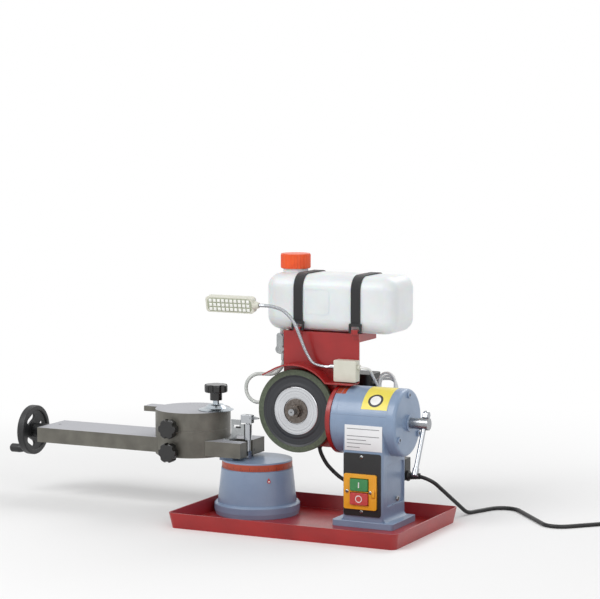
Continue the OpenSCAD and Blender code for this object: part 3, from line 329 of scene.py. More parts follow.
def plate(shape, outline, origin, across, up, thick, finish=0):
    across, up = Vector(across).normalized(), Vector(up).normalized()
    out = across.cross(up)
    layers = [[shape.verts.new(mm(origin) + (across * u + up * v + out * w) * MM) for u, v in outline]
              for w in (0, thick)]
    for i in range(len(outline)):
        j = (i + 1) % len(outline)
        shape.faces.new((layers[0][i], layers[0][j], layers[1][j], layers[1][i])).material_index = finish
    for layer in layers:
        shape.faces.new(layer).material_index = finish


def soft_box(shape, low, high, edge, segments=3):
    verts = bmesh.ops.create_cube(shape, size=1.0)["verts"]
    centre, size = (Vector(low) + Vector(high)) / 2, Vector(high) - Vector(low)
    for v in verts:
        v.co = mm([centre[i] + v.co[i] * size[i] for i in range(3)])
    bmesh.ops.bevel(shape, geom=list({e for v in verts for e in v.link_edges}), offset=edge * MM,
                    segments=segments, profile=0.5, affect="EDGES")


def rounded(width, height, corner, steps=6):
    points = []
    for k, (x, y) in enumerate(((1, 1), (-1, 1), (-1, -1), (1, -1))):
        for i in range(steps + 1):
            a = math.radians(90 * k + 90 * i / steps)
            points.append((x * (width / 2 - corner) + corner * math.cos(a),
                           y * (height / 2 - corner) + corner * math.sin(a)))
    return points


# %% [markdown]
# A cord is laid by a few given points. The curve through them bends evenly, as a stiff
# sheath does, so a Catmull-Rom spline is sampled between the points, and its length can be measured.
# Where a bend must not be tighter than the cord allows, the route is straight runs joined by arcs of
# one radius.


# %% Smooth routes and their length
def smooth_route(points, per_span=6):
    pts = [Vector(p) for p in points]
    pts = [2 * pts[0] - pts[1]] + pts + [2 * pts[-1] - pts[-2]]
    route = []
    for a, b, c, d in zip(pts, pts[1:], pts[2:], pts[3:]):
        for i in range(per_span):
            t = i / per_span
            route.append(0.5 * (2 * b + (c - a) * t + (2 * a - 5 * b + 4 * c - d) * t ** 2
                                + (3 * b - a - 3 * c + d) * t ** 3))
    return route + [pts[-2]]


def bent_route(corners, radius):
    corners = [Vector(c) for c in corners]
    route = [corners[0]]
    for a, b, c in zip(corners, corners[1:], corners[2:]):
        into, out = (b - a).normalized(), (c - b).normalized()
        turn = into.angle(out)
        side = (out - into * out.dot(into)).normalized()
        start = b - into * radius * math.tan(turn / 2)
        steps = max(3, round(math.degrees(turn) / 5))
        for k in range(steps + 1):
            w = turn * k / steps
            route.append(start + side * radius * (1 - math.cos(w)) + into * radius * math.sin(w))
    return route + [corners[-1]]


def route_length(route):
    return sum((b - a).length for a, b in zip(route, route[1:])) * MM


def line_of(name, route):
    curve = bpy.data.curves.new(name, "CURVE")
    curve.dimensions = "3D"
    line = curve.splines.new("POLY")
    line.points.add(len(route) - 1)
    for dot, p in zip(line.points, route):
        dot.co = (*mm(p), 1)
    line.use_smooth = True
    return curve


def centreline(name, route, radius_mm, body, finish):
    curve = line_of(name, route)
    curve.bevel_depth = radius_mm * MM
    curve.bevel_resolution = 4
    curve.use_fill_caps = True
    curve.materials.append(finish)
    made = in_scene(name, curve)
    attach(made, body)
    return made


# %% [markdown]
# The mains lead leaves the box behind the column through a tapered strain relief, drops over the
# tray's wall and runs off to the right along the bench. What is left of its 1.8 m is coiled just
# outside the view: three turns that wind inwards on the bench, and three that wind outwards on top.

# %% Mains lead
MAINS = [(128.3, 98, 66), (146, 99, 62.5), (176, 168, 3), (212, 253, 3), (325, 119, 3), (420, 216.5, 3),
         (448, 215.5, 3)]
LEAD_BEND = 26
COIL = (455, 170)
COIL_OUT, COIL_IN = 42.3, 24.0
BENCH_Z, SECOND_LAYER_Z = 3, 9.1


def coil_turns():
    def at(degrees, r, z):
        a = math.radians(degrees)
        return Vector((COIL[0] + r * math.cos(a), COIL[1] + r * math.sin(a), z))

    turns = []
    for k in range(1, 6):
        turns.append(at(98 - 5.6 * k, 46 - 0.74 * k, BENCH_Z))
    for k in range(1, 109):
        turns.append(at(70 - 10 * k, COIL_OUT - (COIL_OUT - COIL_IN) * k / 108, BENCH_Z))
    for k in range(1, 7):
        rise = (1 - math.cos(math.pi * k / 6)) / 2
        turns.append(at(-1010 - 10 * k, COIL_IN, BENCH_Z + (SECOND_LAYER_Z - BENCH_Z) * rise))
    for k in range(1, 95):
        turns.append(at(-1070 - 10 * k, COIL_IN + (COIL_OUT - COIL_IN) * k / 94, SECOND_LAYER_Z))
    return turns


TO_PLUG = [(424, 200.5, 9.8), (433, 209.5, 11.5), (446, 217, 15), (462, 220, 20), (474, 217, 25),
           (483, 209, 29), (487.4, 201, 30), (488, 195, 30)]
mains_route = bent_route(MAINS, LEAD_BEND) + coil_turns()
mains_route += smooth_route([mains_route[-1]] + [Vector(p) for p in TO_PLUG])[1:]
mains_lead = centreline("mains_lead", mains_route, 3.0, "base", black_pvc)
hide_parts("mains_cord", "mains_coil")

# %% [markdown]
# A strain relief keeps the lead from kinking where it leaves the box. It is moulded in soft rubber,
# thick at the box and thin at the cord, and grooves let it bend.

# %% Strain relief
GLAND_AT = (108, 98, 66)


def strain_relief(shape, start, axis, long, thick, thin, grooves):
    profile = [(0, 0), (thick + 2, 0), (thick + 2, 2.6), (thick + 1.4, 3.2), (thick, 3.4)]
    for k in range(grooves):
        a, b = 4.2 + k * (long - 6) / grooves, 4.2 + (k + 0.5) * (long - 6) / grooves
        ra = thick + (thin - thick) * a / long
        rb = thick + (thin - thick) * b / long
        profile += [(ra, a), (ra - 0.1, b - 0.5), (rb - 0.9, b), (rb - 1.0, b + 0.6)]
    profile += [(thin + 0.2, long - 1.2), (thin, long), (0, long)]
    lathe(shape, profile, start, axis, steps=32)


relief = bmesh.new()
strain_relief(relief, GLAND_AT, (1, 0, 0), 20, 6, 4, 5)
relief = piece("strain_relief", relief, "base", [black_pvc])
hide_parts("cord_gland")
print("strain relief 20 mm long")

# %% [markdown]
# The lamp's lead is thin and limp. It leaves the lamp box and goes round the end of the motor. Its
# spare length is folded into a hank of three oval turns, held by a tie beside the small box on the
# motor's shoulder, before its end goes into that box.

# %% Lamp lead
LAMP_LEAD = [(53.3, 47, 231), (63.5, 47.3, 230.5), (62, 62, 226), (51, 121, 190), (51, 121, 172)]
LEAD_LIMP_BEND = 9
HANK_X, HANK_LOW, HANK_FOLD = 64, 158, 13
HANK_TOPS = [202, 197, 192]
HANK_FRONT_Y, HANK_PITCH = 121, 4


def hank_turns():
    points = []
    for turn, top in enumerate(HANK_TOPS):
        y = HANK_FRONT_Y + HANK_PITCH * turn
        for k in range(13):
            a = math.pi + math.pi * k / 12
            points.append(Vector((HANK_X + HANK_FOLD * math.cos(a), y, HANK_LOW + HANK_FOLD * math.sin(a))))
        last = turn == len(HANK_TOPS) - 1
        for k in range(7 if last else 13):
            a = math.pi * k / 12
            points.append(Vector((HANK_X + HANK_FOLD * math.cos(a), y, top + HANK_FOLD * math.sin(a))))
        if not last:
            x = HANK_X - HANK_FOLD
            points += [Vector((x, y + HANK_PITCH * (1 - math.cos(math.pi * k / 4)) / 2, top - 5 - 7 * k))
                       for k in range(5)]
    return points


hank_end = [Vector((56, 128.8, 204.6)), Vector((50, 128.4, 203.4)), Vector((43.4, 128, 202))]
lead_route = bent_route(LAMP_LEAD, LEAD_LIMP_BEND) + hank_turns() + hank_end
lamp_lead = centreline("lamp_lead_in_hank", lead_route, 2.0, "head", white_pvc)
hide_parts("lamp_lead", "lead_hank")
tie = bmesh.new()
soft_box(tie, (49.5, 118, 186.5), (78.5, 132, 190), 1.2)
piece("lead_tie", tie, "head", [black_abs])

# %% [markdown]
# Water runs down a clear hose from the tap. The hose makes a loop to the left of the wheel, ducks
# behind the wheel's rim and ends on a barbed nozzle that wets the grinding band.

# %% Water hose and its nozzle
HOSE = [(-90.5, 82, 229.4), (-90.9, 80, 208.2), (-143.4, 62, 209.2), (-143.4, 60.6, 165), (-112, 60, 167)]
HOSE_BEND = 20.7
hose_route = bent_route(HOSE, HOSE_BEND)
hose = centreline("clear_hose", hose_route, 2.8, "head", clear_pvc)
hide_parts("water_hose")
nozzle = bmesh.new()
tube(nozzle, [(-113, 60, 167.6), (-110, 60, 165.9), (-108.5, 60, 165.2)], 3.7, 20)
tube(nozzle, [(-110, 60, 166.1), (-106, 59.4, 164.2), (-103.5, 58.8, 163)], 2.2, 20)
nozzle = piece("hose_nozzle", nozzle, "head", [zinc_steel])
print("hose", round(route_length(hose_route), 3), "m")

# %% [markdown]
# The motor's own cable hangs in a curve between the motor and the box behind the column. The head
# slides and tilts. The cable is made in two curved runs that meet in mid-air, one from the motor and one
# from the box.

# %% Motor cable
CABLE_UPPER = [(-30, 82, 108), (-29, 82, 98), (-25, 82, 88), (-17, 82, 76), (-6.5, 83, 65.5)]
CABLE_LOWER = [(-6.5, 83, 65.5), (5, 84, 57), (18, 87, 51), (34, 91, 50.5), (48, 94, 56),
               (57, 95.6, 60.8), (65.6, 96, 62)]
motor_gland = bmesh.new()
lathe(motor_gland, [(0, -4), (7.5, -4), (7.5, 2), (6.2, 3), (5.2, 8), (3.4, 12), (0, 12)], (-30, 82, 112),
      (0.06, 0, -1), steps=24)
piece("motor_cable_gland", motor_gland, "head", [black_abs])
box_gland = bmesh.new()
lathe(box_gland, [(0, 0), (7, 0), (7, 3), (5.6, 4), (3.4, 10), (0, 10)], (66, 96, 62), (-0.99, 0, -0.15),
      steps=24)
piece("box_cable_gland", box_gland, "base", [black_abs])


def cable_run(name, points, node):
    route = smooth_route(points, 8)
    shape = bmesh.new()
    tube(shape, route, 3.0, 16)
    bmesh.ops.recalc_face_normals(shape, faces=shape.faces)
    mesh = bpy.data.meshes.new(name)
    shape.to_mesh(mesh)
    shape.free()
    mesh.shade_smooth()
    mesh.materials.append(black_pvc)
    run = in_scene(name, mesh)
    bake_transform(run)
    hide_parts(node)
    return route_length(route)


total = cable_run("motor_cable_upper", CABLE_UPPER, "cable_upper")
total += cable_run("motor_cable_lower", CABLE_LOWER, "cable_lower")
print("motor cable", round(total, 3), "m")

# %% [markdown]
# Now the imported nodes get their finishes. Each node's surface is exact, with its own normals, so most
# need only a better material in their slot.

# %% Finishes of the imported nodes
FINISH = {
    red_powder: ["tray", "tilt_ring", "motor_bracket", "wheel_guard", "tank_bracket"],
    blue_enamel: ["column", "barrel_cap", "table_base", "table_disc"],
    oiled_iron: ["arm", "saddle", "seat"],
    motor_black: ["motor_body", "terminal_box"],
    chromed_steel: ["drop_lever", "lever_nuts", "stop_post", "stop_block", "gooseneck"],
    zinc_steel: ["tap_body", "tap_lever", "stop_bracket"],
    ground_steel: ["tilt_sleeve", "feed_shaft", "spindle", "stop_pawl"],
    turned_bronze: ["barrel_bushes", "screw_nut"],
    brown_steel: ["spindle_nut"],
    black_abs: ["switch_plate", "hand_wheel", "crank_handle", "mains_plug"],
    black_bakelite: ["saddle_knob", "seat_knob", "clamp_knob"],
    yellow_abs: ["switch_frame"],
    green_abs: ["start_button"],
    red_abs: ["stop_button"],
    milky_pe: ["bottle", "cap_seal"],
    orange_pp: ["tank_cap"],
    cream_abs: ["lamp_box", "lamp_head"],
    diamond_grit: ["grinding_band"],
}


def give(finish, *names):
    for name in names:
        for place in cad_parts[name].material_slots:
            place.material = finish


for finish, names in FINISH.items():
    give(finish, *names)
print("nodes with a finish", sum(len(names) for names in FINISH.values()))

# %% [markdown]
# Turned parts show rings round their axis, and light runs along those rings, so a turned finish needs
# the axis: the noise is read along the radius, and the shading is stretched along the ring. A thread
# is a wave along the screw.

# %% Turned and threaded finishes
def turned(name, base, second, centre, axis, ring_mm, rough, **shader):
    made, tree = new_finish(name)
    place = add_node(tree, "ShaderNodeTexCoord")
    spoke = add_node(tree, "ShaderNodeVectorMath",
                     {0: place.outputs["Object"], 1: mm(centre)}, operation="SUBTRACT")
    around = add_node(tree, "ShaderNodeVectorMath", {0: spoke.outputs[0], 1: axis},
                      operation="CROSS_PRODUCT")
    radius = add_node(tree, "ShaderNodeVectorMath", {0: around.outputs[0]}, operation="LENGTH")
    rings = add_node(tree, "ShaderNodeTexNoise",
                     {"W": radius.outputs["Value"], "Scale": 1 / (ring_mm * MM), "Detail": 4.0},
                     noise_dimensions="1D")
    tone = add_node(tree, "ShaderNodeMapRange",
                    {"Value": rings.outputs[0], "From Min": 0.35, "From Max": 0.65})
    mixed = add_node(tree, "ShaderNodeMix", {0: tone.outputs[0], 6: linear(base), 7: linear(second)},
                     data_type="RGBA")
    dull = add_node(tree, "ShaderNodeMapRange",
                    {"Value": rings.outputs[0], "From Min": 0.3, "From Max": 0.7, "To Min": rough - 0.06,
                     "To Max": rough + 0.08})
    along = add_node(tree, "ShaderNodeVectorTransform", {0: around.outputs[0]}, vector_type="VECTOR",
                     convert_from="OBJECT", convert_to="WORLD")
    edge = add_node(tree, "ShaderNodeBevel", {"Radius": 0.3 * MM}, samples=6)
    bump = add_node(tree, "ShaderNodeBump",
                    {"Height": rings.outputs[0], "Distance": 0.02 * MM, "Normal": edge.outputs[0]})
    body = add_node(tree, "ShaderNodeBsdfPrincipled",
                    {"Base Color": mixed.outputs[2], "Roughness": dull.outputs[0],
                     "Tangent": along.outputs[0], "Normal": bump.outputs[0], **shader})
    add_node(tree, "ShaderNodeOutputMaterial", {"Surface": body.outputs[0]})
    return made


def threaded(name, base, direction, pitch_mm, depth_mm, rough):
    made, tree = new_finish(name)
    place = add_node(tree, "ShaderNodeTexCoord")
    wave = add_node(tree, "ShaderNodeTexWave",
                    {"Vector": place.outputs["Object"], "Scale": 0.31416 / (pitch_mm * MM)},
                    wave_type="BANDS", bands_direction=direction, wave_profile="SIN")
    bump = add_node(tree, "ShaderNodeBump", {"Height": wave.outputs["Fac"], "Distance": depth_mm * MM})
    body = add_node(tree, "ShaderNodeBsdfPrincipled",
                    {"Base Color": linear(base), "Metallic": 1.0, "Roughness": rough,
                     "Normal": bump.outputs[0]})
    add_node(tree, "ShaderNodeOutputMaterial", {"Surface": body.outputs[0]})
    return made


# Machined aluminium: bright rings with a sheen that fans out from the middle
hub_metal = turned("machined_aluminium_hub", "#D2D4D7", "#BFC1C5", WHEEL, (0, 1, 0), 2.2, 0.3,
                   Metallic=1.0, Anisotropic=0.7)
# Pressed resin, faced on a lathe: near black with faint paler rings
faced_resin = turned("faced_resin_wheel_body", "#1D1F24", "#2A2D33", WHEEL, (0, 1, 0), 4.5, 0.38, IOR=1.55)
# Zinc over a turned cone: a cool bluish plate with fine rings
cone_zinc = turned("blue_zinc_turned_cone", "#BFC6CC", "#A9B2B9", (-183.8, 40, 160), (0, 0, 1), 2.5,
                   0.24, Metallic=1.0, Anisotropic=0.4)
# Threads: a ripple at their own pitch
stud_thread = threaded("rolled_stud_thread", "#B5B6B8", "Z", 1.0, 0.3, 0.3)
screw_thread = threaded("cut_lead_screw_thread", "#8F9092", "X", 2.0, 0.5, 0.35)
give(hub_metal, "wheel_hub")
give(faced_resin, "wheel_body")
give(cone_zinc, "clamp_cone")
give(stud_thread, "clamp_stud")
give(screw_thread, "lead_screw")
print("turned and threaded finishes on 5 nodes")

# %% [markdown]
# Webbing is woven: fine bars cross the strap and alternate from row to row. The buckles stay glossy
# black plastic, so the straps become one dressed copy with two finishes.

# %% Straps with woven webbing
webbing, tree = new_finish("woven_black_webbing")
place = add_node(tree, "ShaderNodeTexCoord")
split = add_node(tree, "ShaderNodeSeparateXYZ", {"Vector": place.outputs["Object"]})
across = add_node(tree, "ShaderNodeMath", {0: split.outputs["X"], 1: 2 * math.pi / (1.9 * MM)},
                  operation="MULTIPLY")
ridge = add_node(tree, "ShaderNodeMath", {0: across.outputs[0]}, operation="SINE")
run = add_node(tree, "ShaderNodeMath", {0: split.outputs["Y"], 1: split.outputs["Z"]}, operation="ADD")
rows = add_node(tree, "ShaderNodeMath", {0: run.outputs[0], 1: 2 * math.pi / (1.3 * MM)},
                operation="MULTIPLY")
row = add_node(tree, "ShaderNodeMath", {0: rows.outputs[0]}, operation="SINE")
weave = add_node(tree, "ShaderNodeMath", {0: ridge.outputs[0], 1: row.outputs[0]}, operation="MULTIPLY")
bump = add_node(tree, "ShaderNodeBump", {"Height": weave.outputs[0], "Distance": 0.12 * MM})
lift = add_node(tree, "ShaderNodeMapRange", {"Value": weave.outputs[0], "From Min": -1.0, "From Max": 1.0})
thread = add_node(tree, "ShaderNodeMix", {0: lift.outputs[0], 6: linear("#101012"), 7: linear("#1D1D20")},
                  data_type="RGBA")
body = add_node(tree, "ShaderNodeBsdfPrincipled",
                {"Base Color": thread.outputs[2], "Roughness": 0.7, "IOR": 1.5, "Sheen Weight": 0.2,
                 "Normal": bump.outputs[0]})
add_node(tree, "ShaderNodeOutputMaterial", {"Surface": body.outputs[0]})


def dressed_copy(node, name, body_name, finishes, choose):
    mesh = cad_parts[node].data.copy()
    mesh.materials.clear()
    for finish in finishes:
        mesh.materials.append(finish)
    for face in mesh.polygons:
        face.material_index = choose(face.center / MM)
    made = in_scene(name, mesh)
    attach(made, body_name)
    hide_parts(node)
    return made


dressed_copy("straps", "webbing_straps", "head", [webbing, black_abs],
             lambda c: 1 if c.z < 295.2 and c.y < 52.05 else 0)
dressed_copy("base_screws", "casting_screws", "base", [zinc_steel, blue_enamel],
             lambda c: 1 if c.x > 120 and c.z > 100 else 0)
print("webbing straps and casting screws")

# %% [markdown]
# Things that repeat are made once and repeated by small Geometry Nodes trees: a ring of items, a grid
# of items, and items threaded on a curve.

# %% Trees that repeat an item
def repeat_tree(name, sockets):
    tree = bpy.data.node_groups.new(name, "GeometryNodeTree")
    tree.interface.new_socket("Geometry", in_out="OUTPUT", socket_type="NodeSocketGeometry")
    for label, kind in sockets:
        tree.interface.new_socket(label, in_out="INPUT", socket_type=kind)
    return tree, add_node(tree, "NodeGroupInput").outputs


def finish_tree(tree, given, points, rotation=None):
    item = add_node(tree, "GeometryNodeObjectInfo", {"Object": given["Item"]})
    inputs = {"Points": points, "Instance": item.outputs["Geometry"]}
    if rotation:
        inputs["Rotation"] = rotation
    placed = add_node(tree, "GeometryNodeInstanceOnPoints", inputs)
    solid = add_node(tree, "GeometryNodeRealizeInstances", {"Geometry": placed.outputs[0]})
    dressed = add_node(tree, "GeometryNodeSetMaterial",
                       {"Geometry": solid.outputs[0], "Material": given["Finish"]})
    add_node(tree, "NodeGroupOutput", {"Geometry": dressed.outputs[0]})
    return tree


ITEM = [("Item", "NodeSocketObject"), ("Finish", "NodeSocketMaterial")]
tree, given = repeat_tree("ring_of_items", [("Count", "NodeSocketInt"), ("Radius", "NodeSocketFloat")] + ITEM)
circle = add_node(tree, "GeometryNodeMeshCircle", {"Vertices": given["Count"], "Radius": given["Radius"]})
number = add_node(tree, "GeometryNodeInputIndex")
share = add_node(tree, "ShaderNodeMath", {0: number.outputs[0], 1: given["Count"]}, operation="DIVIDE")
angle = add_node(tree, "ShaderNodeMath", {0: share.outputs[0], 1: 2 * math.pi}, operation="MULTIPLY")
spin = add_node(tree, "ShaderNodeCombineXYZ", {"Z": angle.outputs[0]})
ring_of = finish_tree(tree, given, circle.outputs["Mesh"], spin.outputs[0])

tree, given = repeat_tree("grid_of_items", [("Columns", "NodeSocketInt"), ("Rows", "NodeSocketInt"),
                                            ("Wide", "NodeSocketFloat"), ("High", "NodeSocketFloat")] + ITEM)
grid = add_node(tree, "GeometryNodeMeshGrid",
                {"Vertices X": given["Columns"], "Vertices Y": given["Rows"], "Size X": given["Wide"],
                 "Size Y": given["High"]})
grid_of = finish_tree(tree, given, grid.outputs["Mesh"])

tree, given = repeat_tree("items_on_a_curve", [("Line", "NodeSocketObject"), ("Step", "NodeSocketFloat")]
                          + ITEM)
line = add_node(tree, "GeometryNodeObjectInfo", {"Object": given["Line"]})
beads = add_node(tree, "GeometryNodeCurveToPoints",
                 {"Curve": line.outputs["Geometry"], "Length": given["Step"]}, mode="LENGTH")
on_curve = finish_tree(tree, given, beads.outputs["Points"], beads.outputs["Rotation"])


def repeat(tree, name, values, shape, finish, body, place=None):
    item_mesh = bpy.data.meshes.new(name + "_item")
    bmesh.ops.recalc_face_normals(shape, faces=shape.faces)
    shape.to_mesh(item_mesh)
    shape.free()
    item = bpy.data.objects.new(name + "_item", item_mesh)
    maker = in_scene(name + "_maker", bpy.data.meshes.new(name + "_maker"))
    step = maker.modifiers.new("repeat", "NODES")
    step.node_group = tree
    values = dict(values, Item=item, Finish=finish)
    for socket in tree.interface.items_tree:
        if socket.in_out == "INPUT":
            step[socket.identifier] = values[socket.name]
    graph = bpy.context.evaluated_depsgraph_get()
    mesh = bpy.data.meshes.new_from_object(maker.evaluated_get(graph), depsgraph=graph)
    maker.modifiers.remove(step)
    bpy.data.objects.remove(maker)
    bpy.data.objects.remove(item)
    if place:
        mesh.transform(place)
    mesh.name = name
    mesh.shade_smooth()
    mesh.set_sharp_from_angle(angle=math.radians(SHARP_DEGREES))
    made = in_scene(name, mesh)
    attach(made, body)
    print(name, len(mesh.polygons), "faces")
    return made


def at(x, y, z):
    return Matrix.Translation(mm((x, y, z)))


def turn(degrees, axis):
    return Matrix.Rotation(math.radians(degrees), 4, axis)


# %% [markdown]
# The lamp is a bar with a window, behind which thirty small LEDs stand in three rows. Its neck is a
# flexible metal conduit: a ridge every two and a half millimetres.

# %% Lamp window, LEDs and the ridges of its neck
# Printed board behind the LEDs: a dull grey green
led_board = surface("grey_green_led_board", "#A9AE98", "#A0A58F", 6, 0.5, 0.05, 1, 0.01, 0.2, IOR=1.5)
head_place = at(-101, 20, 318.5) @ turn(12, "X") @ at(-46, -5.5, 0) @ turn(90, "X")
window = bmesh.new()
plate(window, rounded(74, 20.6, 6.4), (0, 0, -0.2), (1, 0, 0), (0, 1, 0), 0.5)
window.transform(head_place)
piece("lamp_window", window, "lamp", [led_board])
led = bmesh.new()
soft_box(led, (-2.5, -2.4, 0.2), (2.5, 2.4, 1.1), 0.45, segments=2)
repeat(grid_of, "leds", {"Columns": 10, "Rows": 3, "Wide": 63 * MM, "High": 13.2 * MM}, led, led_lens,
       "lamp", head_place)

GOOSE = [(-4, 45.5, 229.4), (-10, 45, 230), (-18, 44, 232), (-24, 43, 236), (-29, 42, 244), (-33, 40, 253),
         (-39, 37, 270), (-44, 34, 285), (-50, 32, 297), (-57, 29, 306), (-64, 27, 312), (-72, 25, 315.5),
         (-82, 22.5, 317.8), (-91, 20.5, 318.5), (-98.7, 20, 318.5)]
goose_holder = bpy.data.objects.new("goose_line", line_of("goose_line", smooth_route(GOOSE)))
ridge_ring = bmesh.new()
lathe(ridge_ring, [(2.3, -0.8), (2.62, -0.55), (2.78, 0), (2.62, 0.55), (2.3, 0.8)], (0, 0, 0),
      (0, 0, 1), 20)
repeat(on_curve, "conduit_ridges", {"Line": goose_holder, "Step": 2.4 * MM}, ridge_ring, chromed_steel,
       "lamp")
bpy.data.objects.remove(goose_holder)

# %% [markdown]
# The turning table carries a printed degree band: short ticks every three degrees, long ones every
# fifteen. A small red drop on the fixed cone below is the index.

# %% Degree band and index
TICK_R = 53.2
INDEX_DEGREES, INDEX_Z, INDEX_R = -45, 58.2, 56.5
band = bmesh.new()
lathe(band, [(53.0, 72.4), (53.14, 72.4), (53.14, 82.2), (53.0, 82.2)],
      (TABLE_X, TABLE_Y, 0), (0, 0, 1), 160)
piece("degree_band", band, "table", [orange_vinyl])
tick = bmesh.new()
soft_box(tick, (-0.06, -0.2, -1.5), (0.04, 0.2, 1.5), 0.02, segments=1)
repeat(ring_of, "degree_ticks", {"Count": 120, "Radius": TICK_R * MM}, tick, dark_print_and_painted_shade, "table",
       at(TABLE_X, TABLE_Y, 74.1))
tick = bmesh.new()
soft_box(tick, (-0.06, -0.25, -2.9), (0.04, 0.25, 2.9), 0.02, segments=1)
repeat(ring_of, "long_ticks", {"Count": 24, "Radius": TICK_R * MM}, tick, dark_print_and_painted_shade, "table",
       at(TABLE_X, TABLE_Y, 75.5))


def on_cone(angle, z, lift):
    # The fixed cone is 64.6 mm in radius at z 20 and 54 mm at z 71.4
    r = 64.6 + (54 - 64.6) * (z - 20) / 51.4 + lift
    return Vector((TABLE_X + r * math.cos(angle), TABLE_Y + r * math.sin(angle), z))


def cone_patch(shape, outline, lift, finish):
    rim = [shape.verts.new(mm(on_cone(math.radians(INDEX_DEGREES) + u / INDEX_R, INDEX_Z + v, lift)))
           for u, v in outline]
    shape.faces.new(rim).material_index = finish


drop = [(2.6 * math.cos(t), 2.6 * math.sin(t)) for t in
        (math.radians(a) for a in range(150, 391, 15))] + [(0.4, 5.0), (-0.4, 5.0)]
index = bmesh.new()
cone_patch(index, drop, 0.12, 0)
cone_patch(index, [(1.1 * math.cos(k * math.pi / 8), 1.1 * math.sin(k * math.pi / 8)) for k in range(16)],
           0.2, 1)
piece("index_mark", index, "base", [red_print, white_print])

# %% [markdown]
# On the barrel there are a yellow patch with a plain ring, a short tilt scale by the red ring, a
# parting line left by the mould, and shallow grooves turned at both ends.

# %% Barrel details
def on_barrel(x, degrees, lift):
    a, r = math.radians(degrees), BARREL_R + lift
    return Vector((x, BARREL_Y - r * math.cos(a), BARREL_Z + r * math.sin(a)))


def barrel_patch(shape, x0, x1, a0, a1, lift, finish, steps=20):
    rows = [[shape.verts.new(mm(on_barrel(x, a0 + (a1 - a0) * k / steps, lift))) for x in (x0, x1)]
            for k in range(steps + 1)]
    for one, two in zip(rows, rows[1:]):
        shape.faces.new((one[0], one[1], two[1], two[0])).material_index = finish


def barrel_ring(shape, x, degrees, inner, outer, lift, finish, steps=48):
    per_mm = math.degrees(1 / BARREL_R)
    loops = []
    for r in (inner, (inner + outer) / 2, outer):
        loops.append([shape.verts.new(mm(on_barrel(x + r * math.cos(2 * math.pi * k / steps),
                                                   degrees + r * math.sin(2 * math.pi * k / steps) * per_mm,
                                                   lift))) for k in range(steps)])
    for one, two in zip(loops, loops[1:]):
        for k in range(steps):
            j = (k + 1) % steps
            shape.faces.new((one[k], one[j], two[j], two[k])).material_index = finish


sticker = bmesh.new()
barrel_patch(sticker, 73, 114, 27, 92, 0.12, 0)
barrel_ring(sticker, 92.6, 45, 0.2, 8.2, 0.2, 1)
barrel_ring(sticker, 92.6, 45, 8.2, 11.6, 0.2, 2)
piece("yellow_patch", sticker, "base", [yellow_vinyl, white_print, dark_print_and_painted_shade])

tilt_scale = bmesh.new()
barrel_patch(tilt_scale, 26, 41, 55, 83, 0.14, 0)
for k in range(15):
    a = 56.2 + k * 1.9
    barrel_patch(tilt_scale, 26.4, 33 if k % 5 == 2 else 30.4, a, a + 0.35, 0.2, 1, steps=1)
piece("tilt_scale", tilt_scale, "base", [orange_vinyl, dark_print_and_painted_shade])

seam = bmesh.new()
tube(seam, [on_barrel(25.9, 16, -0.1), on_barrel(70, 16, -0.1), on_barrel(114.6, 16, -0.1)], 0.5, 12)
for x in (34.5, 115.1):
    lathe(seam, [(49.9, x - 0.55), (50.22, x - 0.3), (50.22, x + 0.3), (49.9, x + 0.55)],
          (0, BARREL_Y, BARREL_Z), (1, 0, 0), 128)
piece("barrel_seams", seam, "base", [blue_enamel])

# %% [markdown]
# The plates and marks on the column's front: a bare rating plate with plain rules, a white bar and a
# white ring on the buttons; the dark crosses on the screws, painted shade for their recesses, come next.

# %% Rating plate and button marks
name_plate = bmesh.new()
soft_box(name_plate, (49.8, 0.35, 115.6), (109.6, 1.02, 153.2), 0.2, segments=2)
for z, x1 in ((147.6, 105), (137, 105), (131.5, 84), (126.4, 92), (120.6, 74)):
    plate(name_plate, [(53.5, z - 0.5), (x1, z - 0.5), (x1, z + 0.5), (53.5, z + 0.5)], (0, 0.33, 0),
          (1, 0, 0), (0, 0, 1), 0.03, 1)
piece("rating_plate", name_plate, "base", [aluminium_sheet, grey_print])
bar = bmesh.new()
plate(bar, rounded(1.8, 8.4, 0.6), (75.5, -6.53, 66.2), (1, 0, 0), (0, 0, 1), 0.06)
piece("start_mark", bar, "start", [white_print])
ring = bmesh.new()
lathe(ring, [(4.1, 0), (5.4, 0), (5.4, 0.06), (4.1, 0.06), (4.1, 0)], (75.5, -6.5, 45.8), (0, -1, 0), 48)
piece("stop_mark", ring, "stop_key", [white_print])
lug = bmesh.new()
soft_box(lug, (95.4, -6.0, 48.5), (100.6, -3.8, 60.5), 1.3)
piece("frame_lug", lug, "base", [yellow_abs])

# %% [markdown]
# Screw heads get a dark cross or hexagon laid flat on them, painted shade for their recesses. The
# arm's two small holes and the bracket's slot are dark patches of painted shade, and the drop lever
# ends in a screw.

# %% Painted shade of recesses and holes, and small screws
def cross(shape, spot, normal, size):
    normal = Vector(normal)
    side = normal.orthogonal().normalized()
    up = normal.cross(side)
    for u, v in ((side, up), (up, side)):
        plate(shape, [(-size, -size * 0.24), (size, -size * 0.24), (size, size * 0.24), (-size, size * 0.24)],
              spot, u, v, 0.04 if u is side else -0.04)


